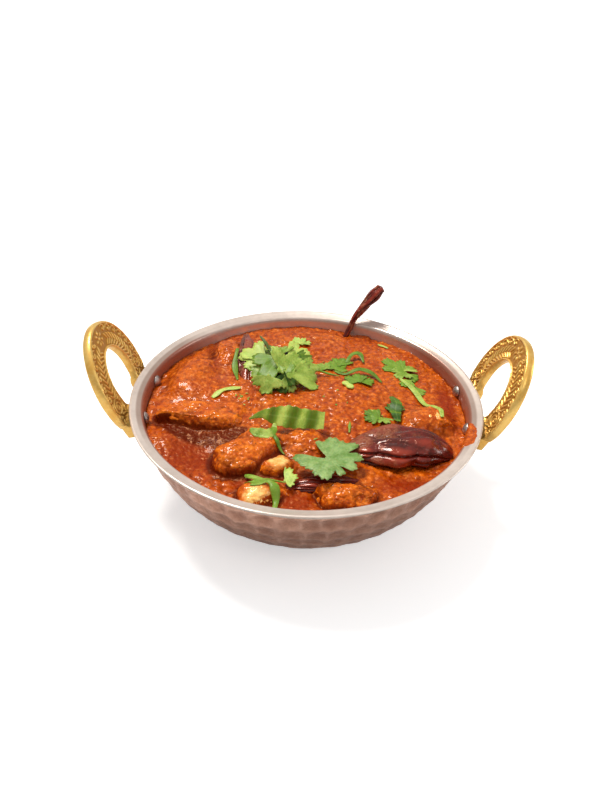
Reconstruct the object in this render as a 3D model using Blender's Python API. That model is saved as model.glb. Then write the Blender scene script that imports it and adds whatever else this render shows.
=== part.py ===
"""Chicken curry in a small two-handled karahi.

Frame: metres, +Z up, origin at the centre of the flat base, handles on the X axis, front towards -Y.
Lengths below are in millimetres and are scaled to metres when a mesh is made.
"""
import bmesh
import bpy
import numpy as np
from math import cos, pi, radians, sin, tan

for old in list(bpy.data.objects):
    bpy.data.objects.remove(old, do_unlink=True)

MM = 0.001
GAP = 0.3                    # clearance kept between pieces that touch or are cut round each other

# ---- the dish ------------------------------------------------------------------------------
RIM_Z = 50.0                 # height of the rim
RIM_R = 82.5                 # outer radius of the rim
WALL_TOP_R = 78.0            # outside of the copper at its top
WALL_TOP_Z = 47.5            # height at which the wall's curve would stand upright
BASE_R = 41.0                # radius of the flat base
CURVE = 1.7                  # exponent of the wall's rounded profile
COPPER = 0.8                 # thickness of the copper jacket
STEEL = 0.8                  # thickness of the steel liner
COPPER_TOP_Z = 46.0
ROUND = 40                   # sides of the turned pieces

# ---- handles and rivets ------------------------------------------------------------------
HANDLE_TILT = radians(66.3)  # slope of the loop, leaning outwards
HANDLE_X = 81.7              # inner face of the loop where it passes HANDLE_FOOT_Z
HANDLE_FOOT_Z = RIM_Z - 2.5
HANDLE_THICK = 3.8
ARM_WIDTH = 13.0
LOOP_HALF = 19.6             # half the distance between the arms, centre to centre
LOOP_BASE = 10.0             # where the half ellipse of the loop starts, up the slope
LOOP_RISE = 21.6             # its height, to the middle of the band
CHAMFER = 0.7
FOOT_LEVELS = (RIM_Z - 11.0, RIM_Z - 8.0, RIM_Z - 4.4)
FOOT_SIDE = 17.6             # distance of the arm's middle from the X axis at the top of the foot
RIVET_ANGLE = radians(11.6)
RIVET_Z = RIM_Z - 6.0
RIVET_TILT = radians(7.0)    # the wall's lean at the rivets
SHANK_R = 1.4
HEAD_R = 2.8

# ---- materials: base colour, roughness, metallic ------------------------------------------------
FINISHES = {
    "satin_steel": ((0.62, 0.57, 0.53), 0.28, 1.0),
    "hammered_copper": ((0.36, 0.20, 0.15), 0.42, 1.0),
    "cast_brass": ((0.76, 0.47, 0.13), 0.35, 1.0),
    "masala_gravy": ((0.50, 0.12, 0.02), 0.35, 0.0),
    "coated_chicken": ((0.55, 0.16, 0.03), 0.38, 0.0),
    "dried_chilli": ((0.09, 0.01, 0.01), 0.25, 0.0),
}


def finish(name):
    """The Principled material of that name, made on first use."""
    found = bpy.data.materials.get(name)
    if found:
        return found
    colour, roughness, metallic = FINISHES[name]
    made = bpy.data.materials.new(name)
    made.use_nodes = True
    shader = made.node_tree.nodes["Principled BSDF"]
    shader.inputs["Base Color"].default_value = (*colour, 1.0)
    shader.inputs["Roughness"].default_value = roughness
    shader.inputs["Metallic"].default_value = metallic
    return made


def body(name, rings, material, start=None, end=None, smooth_angle=50.0):
    """One closed body skinned over rings of points, an array (ring, point, xyz) in millimetres.

    start and end are the points that close the two ends; without them the last ring joins the first.
    """
    rings = np.asarray(rings, float)
    count, sides = rings.shape[:2]
    bm = bmesh.new()
    rows = [[bm.verts.new(p) for p in ring * MM] for ring in rings]
    looped = start is None
    for k in range(count if looped else count - 1):
        low, high = rows[k], rows[(k + 1) % count]
        for i in range(sides):
            j = (i + 1) % sides
            bm.faces.new((low[i], low[j], high[j], high[i]))
    if not looped:
        for tip, row in ((start, rows[0]), (end, rows[-1])):
            point = bm.verts.new(np.asarray(tip, float) * MM)
            for i in range(sides):
                bm.faces.new((point, row[i], row[(i + 1) % sides]))
    bmesh.ops.recalc_face_normals(bm, faces=bm.faces)
    bmesh.ops.triangulate(bm, faces=bm.faces)
    mesh = bpy.data.meshes.new(name)
    bm.to_mesh(mesh)
    bm.free()
    mesh.shade_smooth()
    mesh.set_sharp_from_angle(angle=radians(smooth_angle))
    mesh.materials.append(finish(material))
    made = bpy.data.objects.new(name, mesh)
    bpy.context.scene.collection.objects.link(made)
    return made


def turned(profile, sides=ROUND):
    """Rings from turning (radius, height) points about the vertical axis."""
    profile = np.asarray(profile, float)
    around = np.arange(sides) * 2 * pi / sides
    return np.stack([np.outer(profile[:, 0], np.cos(around)),
                     np.outer(profile[:, 0], np.sin(around)),
                     np.repeat(profile[:, 1:2], sides, axis=1)], axis=-1)


def wall_radius(z, inset):
    """Radius of the wall's rounded profile at height z, moved in by inset."""
    wide = WALL_TOP_R - inset - BASE_R
    deep = WALL_TOP_Z - inset
    down = np.clip((WALL_TOP_Z - z) / deep, 0.0, 1.0)
    return BASE_R + wide * (1 - down ** CURVE) ** (1 / CURVE)


def wall_profile(inset, top_z, steps):
    """(radius, height) points up the wall from the edge of the base to top_z."""
    deep = WALL_TOP_Z - inset
    last = np.arcsin(((WALL_TOP_Z - top_z) / deep) ** (CURVE / 2))
    turn = np.linspace(pi / 2, last, steps)
    z = WALL_TOP_Z - deep * np.sin(turn) ** (2 / CURVE)
    return np.c_[wall_radius(z, inset), z]


def cutter(source, reach=GAP):
    """A hidden copy of a body, grown by reach along its normals, to cut neighbours with."""
    mesh = source.data.copy()
    for vertex, normal in zip(mesh.vertices, [v.normal.copy() for v in source.data.vertices]):
        vertex.co += normal * reach * MM
    made = bpy.data.objects.new(source.name + "_cutter", mesh)
    bpy.context.scene.collection.objects.link(made)
    made.hide_render = True
    made.display_type = "WIRE"
    return made


def cut(target, tools):
    """Takes the tools away from the target."""
    for tool in tools:
        step = target.modifiers.new("cut_" + tool.name, "BOOLEAN")
        step.operation = "DIFFERENCE"
        step.object = tool


# ---- dish --------------------------------------------------------------------------------------

def make_dish():
    """Copper jacket, steel liner with its rolled flange, and the bright band between the two."""
    outside = wall_profile(0.0, COPPER_TOP_Z, 7)
    inside = wall_profile(COPPER, COPPER_TOP_Z, 5)[::-1]
    jacket = body("copper_jacket", turned(np.r_[outside, inside]), "hammered_copper",
                  start=(0, 0, 0), end=(0, 0, COPPER))

    flange_in = RIM_R - 5.3
    flange = [(flange_in - 0.8, RIM_Z - 2.2), (flange_in, RIM_Z - 1.4), (RIM_R - 2.6, RIM_Z - 0.6),
              (RIM_R - 0.8, RIM_Z), (RIM_R, RIM_Z - 0.5), (RIM_R - 0.4, RIM_Z - 1.15),
              (flange_in + 1.0, RIM_Z - 2.1)]
    lining = COPPER + GAP
    bowl_in = wall_profile(lining + STEEL, RIM_Z - 3.6, 8)
    bowl_out = wall_profile(lining, RIM_Z - 3.3, 5)[::-1]
    liner = body("steel_bowl", turned(np.r_[bowl_in, flange, bowl_out]), "satin_steel",
                 start=(0, 0, lining + STEEL), end=(0, 0, lining))

    band_r, band_z = 78.3, COPPER_TOP_Z + 0.95
    turn = np.arange(5) * 2 * pi / 5 + pi / 2
    band = np.c_[band_r + 0.65 * np.cos(turn), band_z + 0.6 * np.sin(turn)]
    body("edge_band", turned(band), "satin_steel")
    return jacket, liner


# ---- handles -----------------------------------------------------------------------------------

def loop_point(along, side, depth):
    """A point of the loop: along its slope from the foot's height, to the side, and depth behind its face."""
    x = HANDLE_X + along * cos(HANDLE_TILT) + depth * sin(HANDLE_TILT)
    z = HANDLE_FOOT_Z + along * sin(HANDLE_TILT) - depth * cos(HANDLE_TILT)
    return np.array([x, side, z])


def handle_stations():
    """Half of one handle's route, foot to apex, as pairs of points on its inner and outer faces.

    The foot is a wedge between the wall and the plane of the loop, below the flange. Above it the arm
    clears the flange and joins a half ellipse in the sloping plane.
    """
    radial = np.array([cos(RIVET_ANGLE), sin(RIVET_ANGLE), -sin(RIVET_TILT)])
    back = HANDLE_THICK / sin(HANDLE_TILT)
    stations = []
    for z in FOOT_LEVELS:
        r = wall_radius(z, -0.35)
        inner = np.array([r * cos(RIVET_ANGLE), r * sin(RIVET_ANGLE), z])
        plane_x = HANDLE_X + (z - HANDLE_FOOT_Z) / tan(HANDLE_TILT) + back
        stations.append((inner, inner + radial * (plane_x - inner[0]) / radial[0]))
    sides = [(0.0, FOOT_SIDE), (4.0, 0.5 * (FOOT_SIDE + LOOP_HALF) + 0.4)]
    turns = np.linspace(pi / 2, 0, 7)
    sides += [(LOOP_BASE + LOOP_RISE * cos(turn), LOOP_HALF * sin(turn)) for turn in turns]
    stations += [(loop_point(along, side, 0.0), loop_point(along, side, HANDLE_THICK)) for along, side in sides]
    return stations


def make_handle(name, side):
    """A flat cast loop with chamfered edges; side is +1 or -1 along X."""
    half = handle_stations()
    flip = np.array([1, -1, 1])
    route = half + [(inner * flip, outer * flip) for inner, outer in half[-2::-1]]
    centres = np.array([(inner + outer) / 2 for inner, outer in route])
    ahead = np.gradient(centres, axis=0)
    rings = []
    for (inner, outer), centre, way in zip(route, centres, ahead):
        away = (outer - inner) / 2
        h = np.linalg.norm(away)
        away = away / h
        across = np.cross(away, way)
        across = across / np.linalg.norm(across)
        w, c = ARM_WIDTH / 2, CHAMFER
        outline = [(-w, -h + c), (-w + c, -h), (w - c, -h), (w, -h + c), (w, h - c), (w - c, h), (-w + c, h), (-w, h - c)]
        rings.append([centre + across * a + away * b for a, b in outline])
    rings = np.array(rings) * np.array([side, 1, 1])
    return body(name, rings, "cast_brass", start=rings[0].mean(axis=0), end=rings[-1].mean(axis=0), smooth_angle=40)


def rivet_rings(angle, profile, sides=8):
    """Rings of a turned (radius, distance) profile whose axis leaves the wall at the rivet."""
    tilt = RIVET_TILT
    axis = np.array([cos(angle) * cos(tilt), sin(angle) * cos(tilt), -sin(tilt)])
    across = np.array([-sin(angle), cos(angle), 0])
    up = np.cross(axis, across)
    r = wall_radius(RIVET_Z, 0.0)
    at = np.array([r * cos(angle), r * sin(angle), RIVET_Z])
    around = np.arange(sides) * 2 * pi / sides
    ring = np.outer(np.cos(around), across) + np.outer(np.sin(around), up)
    return np.array([at + axis * d + ring * radius for radius, d in profile]), at, axis


def make_rivets(jacket, liner, handles):
    """Four rivets, each with a domed head inside and a shank through the walls into the foot."""
    inner, outer = -(COPPER + GAP + STEEL + 0.65), 4.6
    profile = [(1.9, inner - 1.3), (HEAD_R, inner), (SHANK_R, inner), (SHANK_R, outer)]
    spots = [("front_right", -RIVET_ANGLE), ("back_right", RIVET_ANGLE),
             ("front_left", pi + RIVET_ANGLE), ("back_left", pi - RIVET_ANGLE)]
    for place, angle in spots:
        rings, at, axis = rivet_rings(angle, profile)
        body("rivet_" + place, rings, "satin_steel", start=at + axis * (inner - 1.7), end=at + axis * outer)
        bore, at, axis = rivet_rings(angle, [(SHANK_R + GAP, inner - 1), (SHANK_R + GAP, outer + GAP)])
        hole = body("hole_" + place, bore, "satin_steel", start=at + axis * (inner - 1), end=at + axis * (outer + GAP))
        hole.hide_render = True
        hole.display_type = "WIRE"
        cut(jacket, [hole])
        cut(liner, [hole])
        cut(handles[0 if "right" in place else 1], [hole])


# ---- food --------------------------------------------------------------------------------------
# Each chunk: centre (z below the rim), half sizes, turn about Z, and a number that varies its lumps.
CHUNKS = {
    "chicken_left": ((-48, -11, -9.0), (21, 10, 8.0), -6, 1),
    "chicken_left_back": ((-55, 19, -9.5), (13, 17, 8.0), 12, 2),
    "chicken_back_left": ((-41, 39, -7.5), (6.5, 15, 7.0), 8, 3),
    "chicken_front_left": ((-24, -37, -7.0), (16, 10, 8.5), 48, 4),
    "chicken_front_small": ((-13, -45.5, -9.0), (8, 6, 6.0), 30, 5),
    "chicken_front_edge": ((-17, -62.5, -8.5), (10.5, 5.5, 5.0), 14, 6),
    "chicken_front_right": ((17, -62.8, -8.3), (13, 6, 6.0), -4, 7),
    "chicken_right": ((56, -9, -9.0), (11, 9, 7.0), 20, 8),
    "chicken_middle": ((-1, -31, -8.0), (11, 8, 7.0), -8, 9),
}

# Each chilli: points along its middle (z below the rim), half widths and half heights there.
CHILLIES = {
    "chilli_large": (((15, -35, -7.5), (25, -34, -5), (39, -32, -4), (54, -31, -4.5), (64.5, -31.5, -8)),
                     (3.0, 8.0, 12.0, 10.5, 3.5), (2.0, 4.5, 6.0, 5.5, 2.5)),
    "chilli_small": (((-10, -57, -9), (2, -56, -7.5), (14, -55, -7.5), (24, -52, -9)),
                     (2.0, 4.0, 4.2, 2.5), (1.5, 3.2, 3.4, 2.0)),
    "chilli_back_left": (((-33, 57, -3), (-31.5, 42, -2.5), (-30, 26, -3.5), (-29, 11, -6.5)),
                         (1.8, 4.6, 5.0, 2.2), (1.5, 3.4, 3.6, 2.0)),
    "chilli_tall": (((16.5, 63.5, -14), (19.5, 67, -9.5), (23, 70, -3), (25.8, 72, 3), (30.6, 74.5, 8.8),
                     (35.4, 77, 14), (38.9, 78.5, 17.6)),
                    (1.2, 1.4, 1.5, 2.0, 3.0, 4.0, 3.2), (1.2, 1.3, 1.4, 1.7, 2.2, 2.6, 2.2)),
}

# Swellings and hollows of the gravy: centre, height, spread along x and y.
SWELLS = (
    ((-8, 60), 4.2, (26, 14)), ((18, 6), 2.2, (22, 22)), ((-60, 24), 1.8, (14, 22)), ((-64, -27), 2.6, (8, 9)),
    ((-44, -38), -2.6, (11, 10)), ((44, 46), 2.0, (18, 14)), ((-30, 14), 1.6, (14, 16)), ((34, -60), 1.2, (16, 8)),
)
GRAVY_GAP = 0.65             # clearance to the bowl, whose facets stand a little inside its curve
GRAVY_EDGE = -9.3            # level at the wall, below the rim
GRAVY_CROWN = 4.6            # how far the middle stands over the edge


def gravy_height(x, y):
    """Height of the gravy over the base: a low crown, swellings where pieces lie under it, fine waves."""
    r = np.hypot(x, y)
    z = GRAVY_EDGE + GRAVY_CROWN * np.exp(-(r / 56) ** 4)
    for (cx, cy), height, (sx, sy) in SWELLS:
        z = z + height * np.exp(-((x - cx) / sx) ** 2 - ((y - cy) / sy) ** 2)
    z = z + 0.35 * np.sin(x / 5.1 + 1.3) * np.sin(y / 4.3 + 0.4)
    return RIM_Z + z


def make_gravy():
    """One solid from the bowl's floor up to the uneven surface."""
    around = np.arange(ROUND) * 2 * pi / ROUND
    ways = np.stack([np.cos(around), np.sin(around)], axis=-1)
    inset = COPPER + GAP + STEEL + GRAVY_GAP
    edge_z = gravy_height(74 * ways[:, 0], 74 * ways[:, 1])
    rings = []
    for rise in (0.0, 0.1, 0.4, 1.0):
        z = inset + (edge_z - inset) * rise
        r = wall_radius(z, inset)
        rings.append(np.c_[ways * r[:, None], z])
    rim_r = wall_radius(edge_z, inset)
    for share in (0.91, 0.79, 0.67, 0.54, 0.38, 0.2):
        spot = ways * (rim_r * share)[:, None]
        rings.append(np.c_[spot, gravy_height(spot[:, 0], spot[:, 1])])
    centre = np.zeros(1)
    return body("gravy", rings, "masala_gravy", start=(0, 0, inset),
                end=(0, 0, float(gravy_height(centre, centre)[0])), smooth_angle=70)


def make_chunk(name, centre, half, turn, seed):
    """A blunt, lumpy block: a rounded box whose radius swells with slow waves of the direction."""
    polar = np.linspace(0, pi, 9)[1:-1]
    around = np.arange(12) * 2 * pi / 12
    p, a = np.meshgrid(polar, around, indexing="ij")
    d = np.stack([np.sin(p) * np.cos(a), np.sin(p) * np.sin(a), np.cos(p)], axis=-1)
    d = np.concatenate([d.reshape(-1, 3), [[0, 0, 1], [0, 0, -1]]])
    blunt = (np.abs(d) ** 2.8).sum(axis=1) ** (-1 / 2.8)
    lumps = 1 + 0.07 * np.sin(3.1 * d[:, 0] + 2.2 * seed) * np.cos(2.7 * d[:, 1] + seed)
    lumps = lumps + 0.05 * np.sin(4.3 * d[:, 1] + 3.3 * d[:, 2] + 1.7 * seed)
    shape = d * (blunt * lumps)[:, None] * np.array(half)
    angle = radians(turn)
    spin = np.array([[cos(angle), sin(angle), 0], [-sin(angle), cos(angle), 0], [0, 0, 1]])
    shape = shape @ spin + np.array(centre) + np.array([0, 0, RIM_Z])
    rings = shape[:-2].reshape(len(polar), len(around), 3)
    return body(name, rings, "coated_chicken", start=shape[-2], end=shape[-1], smooth_angle=70)


def smooth_line(points, steps):
    """A curve through the points, each span a cubic, at even steps along the list."""
    points = np.asarray(points, float)
    padded = np.r_[[2 * points[0] - points[1]], points, [2 * points[-1] - points[-2]]]
    t = np.linspace(0, len(points) - 1, steps)
    k = np.minimum(t.astype(int), len(points) - 2)
    f = (t - k)[:, None]
    a, b, c, d = (padded[k + i] for i in range(4))
    return 0.5 * (2 * b + (c - a) * f + (2 * a - 5 * b + 4 * c - d) * f ** 2 + (3 * b - a - 3 * c + d) * f ** 3)


def make_chilli(name, points, widths, heights):
    """A dried pod: oval rings along its middle, pinched and creased down its length."""
    steps = 2 * len(points) + 1
    middle = smooth_line(points, steps) + np.array([0, 0, RIM_Z])
    sizes = smooth_line(np.c_[widths, heights], steps)
    ahead = np.gradient(middle, axis=0)
    around = np.arange(10) * 2 * pi / 10
    rings = []
    for k, (at, (wide, high), way) in enumerate(zip(middle, sizes, ahead)):
        way = way / np.linalg.norm(way)
        side = np.cross(way, (0, 0, 1))
        side = side / np.linalg.norm(side)
        top = np.cross(side, way)
        crease = 1 + 0.07 * np.sin(3 * around + 0.5 * k)
        rings.append(at + np.outer(np.cos(around) * wide * crease, side) + np.outer(np.sin(around) * high * crease, top))
    tips = [middle[i] - s * 0.8 * sizes[i][1] * ahead[i] / np.linalg.norm(ahead[i]) for i, s in ((0, 1), (-1, -1))]
    return body(name, rings, "dried_chilli", start=tips[0], end=tips[1], smooth_angle=70)


def boxes_meet(one, other):
    """Whether the boxes round two bodies overlap."""
    ends = [(np.min(corners, axis=0), np.max(corners, axis=0)) for corners in (one.bound_box, other.bound_box)]
    (low_a, high_a), (low_b, high_b) = ends
    return bool(np.all(low_a < high_b) and np.all(low_b < high_a))


def make_food():
    """Pieces in the order in which they lie on each other: the later ones are cut round the earlier."""
    pieces = [make_chilli(name, *facts) for name, facts in CHILLIES.items()]
    pieces += [make_chunk(name, *facts) for name, facts in CHUNKS.items()]
    cutters = [cutter(piece) for piece in pieces]
    for k, piece in enumerate(pieces):
        cut(piece, [tool for tool in cutters[:k] if boxes_meet(piece, tool)])
    cut(make_gravy(), cutters)


jacket, liner = make_dish()
handles = [make_handle("handle_right", 1), make_handle("handle_left", -1)]
make_rivets(jacket, liner, handles)
make_food()
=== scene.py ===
"""Looks of the chicken curry in its karahi: dish, sauce, chicken, dried chillies and coriander.

Lengths in the shape functions are millimetres in the frame of the CAD, and become metres when a piece is
made. Every piece is computed as whole arrays: rings of points, or a height over the plan.
"""

from math import cos, pi, radians, sin, tan

import bpy
import numpy as np
from mathutils import Matrix, Vector


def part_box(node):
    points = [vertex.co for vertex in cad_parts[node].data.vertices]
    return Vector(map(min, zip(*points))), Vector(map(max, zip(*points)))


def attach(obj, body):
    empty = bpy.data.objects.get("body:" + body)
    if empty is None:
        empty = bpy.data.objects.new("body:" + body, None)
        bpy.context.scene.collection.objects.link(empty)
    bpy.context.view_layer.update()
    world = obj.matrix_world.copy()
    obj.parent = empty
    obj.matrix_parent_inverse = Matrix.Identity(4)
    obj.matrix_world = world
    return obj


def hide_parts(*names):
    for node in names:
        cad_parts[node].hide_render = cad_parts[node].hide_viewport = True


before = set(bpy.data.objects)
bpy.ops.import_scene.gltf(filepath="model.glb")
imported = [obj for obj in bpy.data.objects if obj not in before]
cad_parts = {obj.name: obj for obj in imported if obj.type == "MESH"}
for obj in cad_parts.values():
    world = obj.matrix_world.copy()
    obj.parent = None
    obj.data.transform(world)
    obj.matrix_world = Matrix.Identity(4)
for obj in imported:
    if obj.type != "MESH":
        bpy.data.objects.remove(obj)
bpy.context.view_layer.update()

MM = 0.001
RIM_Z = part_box("steel_bowl")[1][2] / MM
RIM_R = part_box("steel_bowl")[1][0] / MM

# ---- the dish, as the CAD has it --------------------------------------------------------------
WALL_TOP_R = RIM_R - 4.5
WALL_TOP_Z = RIM_Z - 2.5
BASE_R = 41.0
CURVE = 1.7
COPPER = 0.8
LINING = 1.1
STEEL = 0.8
INSIDE = LINING + STEEL
COPPER_TOP_Z = RIM_Z - 4.0
HANDLE_TILT = radians(66.3)
HANDLE_X = RIM_R - 0.8
HANDLE_FOOT_Z = RIM_Z - 2.5
HANDLE_THICK = 3.8
ARM_WIDTH = 13.0
LOOP_HALF = 19.6
LOOP_BASE = 10.0
LOOP_RISE = 21.6
FOOT_LEVELS = (RIM_Z - 11.0, RIM_Z - 8.0, RIM_Z - 4.4)
FOOT_SIDE = 17.6
RIVET_ANGLE = radians(11.6)
RIVET_Z = RIM_Z - 6.0
RIVET_TILT = radians(7.0)
BLOW_ROW = 8.0
BLOW_GAP = 9.4

# ---- the food, as the CAD has it: heights are below the rim -----------------------------------------
# Each piece of chicken: its middle, half its size, its turn in degrees, and the seed of its tears.
CHUNKS = {
    "chicken_left": ((-48, -11, -9.0), (21, 10, 8.0), -6, 1),
    "chicken_left_back": ((-55, 19, -9.5), (13, 17, 8.0), 12, 2),
    "chicken_back_left": ((-41, 39, -7.5), (6.5, 15, 7.0), 8, 3),
    "chicken_front_left": ((-24, -37, -7.0), (16, 10, 8.5), 48, 4),
    "chicken_front_small": ((-13, -45.5, -9.0), (8, 6, 6.0), 30, 5),
    "chicken_front_edge": ((-17, -62.5, -8.5), (10.5, 5.5, 5.0), 14, 6),
    "chicken_front_right": ((17, -62.8, -8.3), (13, 6, 6.0), -4, 7),
    "chicken_right": ((56, -9, -9.0), (11, 9, 7.0), 20, 8),
    "chicken_middle": ((-1, -31, -8.0), (11, 8, 7.0), -8, 9),
}
SUNK = ("chicken_left_back", "chicken_back_left", "chicken_right", "chicken_middle")
# Pieces whose faces turned down to the front get painted shade, pieces torn less, and spots of bare meat with
# their reach.
SHADED = ("chicken_left", "chicken_front_left", "chicken_middle")
SMOOTHER = ("chicken_front_small", "chicken_front_edge")
BARE_SPOTS = {
    "chicken_front_small": ((-12.0, -45.5, 46.5), 5.4),
    "chicken_front_edge": ((-19, -66, 44.5), 6.6),
    "chicken_right": ((59, -11, 47.5), 3.4),
}
# Each chilli: points along its middle, and half its width and half its height at those points.
CHILLIES = {
    "chilli_large": (((15, -35, -7.5), (25, -34, -5), (39, -32, -4), (54, -31, -4.5), (64.5, -31.5, -8)),
                     (3.0, 8.0, 12.0, 10.5, 3.5), (2.0, 4.5, 6.0, 5.5, 2.5)),
    "chilli_small": (((-10, -57, -9), (2, -56, -7.5), (14, -55, -7.5), (24, -52, -9)),
                     (2.0, 4.0, 4.2, 2.5), (1.5, 3.2, 3.4, 2.0)),
    "chilli_back_left": (((-33, 57, -3), (-31.5, 42, -2.5), (-30, 26, -3.5), (-29, 11, -6.5)),
                         (1.8, 4.6, 5.0, 2.2), (1.5, 3.4, 3.6, 2.0)),
    "chilli_tall": (((16.5, 63.5, -14), (19.5, 67, -9.5), (23, 70, -3), (25.8, 72, 3), (30.6, 74.5, 8.8),
                     (35.4, 77, 14), (38.9, 78.5, 17.6)),
                    (1.2, 1.4, 1.5, 2.0, 3.0, 4.0, 3.2), (1.2, 1.3, 1.4, 1.7, 2.2, 2.6, 2.2)),
}
# Swellings of the sauce: middle, height, reach; creases: points, depth, half width; then oval spots: smooth
# pools, which the finish darkens as painted shade, and calm mounds.
SWELLS = (
    ((-8, 60), 4.2, (26, 14)), ((18, 6), 2.2, (22, 22)), ((-60, 24), 1.8, (14, 22)),
    ((-64, -27), 2.6, (8, 9)), ((-44, -38), -2.6, (11, 10)), ((44, 46), 2.0, (18, 14)),
    ((-30, 14), 1.6, (14, 16)), ((34, -60), 1.2, (16, 8)),
)
CREASES = (
    (((-67, -15), (-56, -24), (-43, -27.5), (-29, -25)), 6.5, 5.2),
    (((-30, -24), (-38, -34), (-38, -46), (-28, -53)), 3.0, 3.8),
    (((-15, -28), (-13, -37), (-6, -41)), 3.2, 2.8),
    (((-12, -24), (0, -24), (12, -26), (16, -32)), 2.4, 3.0),
    (((-22, -52), (-8, -53), (-2, -50)), 2.4, 2.8),
    (((-71, 4), (-66, -4), (-62, -2)), 1.4, 2.4),
    (((-34, 2), (-30, 12), (-35, 24)), 1.4, 2.6),
    (((3, -57), (6, -64), (10, -70)), 1.8, 2.4),
    (((12, -24), (28, -24), (46, -21)), 1.0, 3.0),
    (((44, -2), (46, -12), (52, -18)), 1.2, 2.4),
)
POOLS = ((-50, -38, 18, 14), (-4, -66, 14, 7), (44, -54, 18, 6),
         (-2, -53, 12, 5), (68, 5, 5, 22), (-26, -54, 8, 9))
MOUNDS = ((-52, 16, 17, 20), (-66, 0, 6, 14))
GRAVY_EDGE = -9.3
GRAVY_CROWN = 4.6


# ==== patterns in space ========================================================================

def scatter(i, j, k, seed):
    """An even number from 0 to 1 for each whole-number cell, mixed from its three indices and a seed."""
    h = (i * 374761393 + j * 668265263 + k * 1442695041 + seed * 1274126177) & 0xFFFFFFFF
    h = ((h ^ (h >> 13)) * 1274126177) & 0xFFFFFFFF
    return (h ^ (h >> 16)) / 4294967295.0


def waves(points, size, seed=0):
    """Soft noise from -1 to 1: random values at the corners of cubes of that size, blended smoothly."""
    q = np.asarray(points, float) / size
    cell = np.floor(q).astype(np.int64)
    f = q - cell
    f = f * f * (3 - 2 * f)
    total = 0.0
    for corner in range(8):
        step = np.array([corner & 1, corner >> 1 & 1, corner >> 2 & 1])
        weight = np.prod(np.where(step, f, 1 - f), axis=-1)
        at = cell + step
        total = total + weight * scatter(at[..., 0], at[..., 1], at[..., 2], seed)
    return 2 * total - 1


def layers(points, size, seed=0):
    """Three waves of halving size and strength, summed."""
    return sum(0.5 ** k * waves(points, size / 2 ** k, seed + 17 * k) for k in range(3))


def cobbles(points, size, seed=0):
    """Rounded lumps with sharp creases between them, from -0.6 to 1.4: the waves without their sign."""
    return 2 * np.abs(waves(points, size, seed)) - 0.6


def ease(x, low, high):
    """0 below low, 1 above high, and a smooth step between."""
    t = np.clip((x - low) / (high - low), 0, 1)
    return t * t * (3 - 2 * t)


def soft_max(a, b, blend):
    """The larger of two heights, rounded over where they cross."""
    return (a + b + np.sqrt((a - b) ** 2 + blend ** 2)) / 2


def smooth_line(points, steps):
    """A curve through the points, each span a cubic, at even steps along the list."""
    points = np.asarray(points, float)
    padded = np.r_[[2 * points[0] - points[1]], points, [2 * points[-1] - points[-2]]]
    t = np.linspace(0, len(points) - 1, steps)
    k = np.minimum(t.astype(int), len(points) - 2)
    f = (t - k)[:, None]
    a, b, c, d = (padded[k + i] for i in range(4))
    bend, twist = 2 * a - 5 * b + 4 * c - d, 3 * b - a - 3 * c + d
    return 0.5 * (2 * b + (c - a) * f + bend * f ** 2 + twist * f ** 3)


def unit(v):
    """Vectors scaled to length one."""
    return v / np.linalg.norm(v, axis=-1, keepdims=True)


def spread(*parts):
    """Points whose coordinates are given as arrays that fill the same grid."""
    return np.stack(np.broadcast_arrays(*parts), axis=-1)


# ==== skins and pieces ===========================================================================

def grid_quads(rows, cols, wrap_cols=True, wrap_rows=False):
    """Corner indices of the quads between neighbouring rows and columns of a grid of points."""
    r = np.arange(rows if wrap_rows else rows - 1)
    c = np.arange(cols if wrap_cols else cols - 1)
    r, c = np.meshgrid(r, c, indexing="ij")
    up, side = (r + 1) % rows, (c + 1) % cols
    return np.stack([r * cols + c, r * cols + side, up * cols + side, up * cols + c], axis=-1).reshape(-1, 4)


def skin(rings, start=None, end=None, marks=()):
    """A closed skin over rings (ring, point, xyz), turned so that it faces outwards.

    Poles at start and end close it, or else its last ring joins its first. marks are numbers per point of
    the rings, and each pole takes the mean of the ring next to it.
    """
    rings = np.asarray(rings, float)
    rows, cols = rings.shape[:2]
    points = rings.reshape(-1, 3)
    marks = [np.asarray(m, float).reshape(rows, cols) for m in marks]
    values = [m.ravel() for m in marks]
    tris = np.zeros((0, 3), int)
    if start is None:
        quads = grid_quads(rows, cols, wrap_rows=True)
    else:
        quads = grid_quads(rows, cols)
        i = np.arange(cols)
        j = (i + 1) % cols
        last = (rows - 1) * cols
        low = np.stack([np.full(cols, rows * cols), j, i], axis=-1)
        high = np.stack([np.full(cols, rows * cols + 1), last + i, last + j], axis=-1)
        tris = np.concatenate([low, high])
        points = np.concatenate([points, [start], [end]])
        values = [np.r_[v, m[0].mean(), m[-1].mean()] for v, m in zip(values, marks)]
    a, b, c, d = (points[quads[:, n]] for n in range(4))
    volume = (a * np.cross(b, c)).sum() + (a * np.cross(c, d)).sum()
    if len(tris):
        a, b, c = (points[tris[:, n]] for n in range(3))
        volume = volume + (a * np.cross(b, c)).sum()
    if volume < 0:
        quads, tris = quads[:, ::-1], tris[:, ::-1]
    return points, quads, tris, values


def closed(rings, marks):
    """A skin closed at the middles of its first and last rings."""
    return skin(rings, rings[0].mean(axis=0), rings[-1].mean(axis=0), marks)


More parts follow.
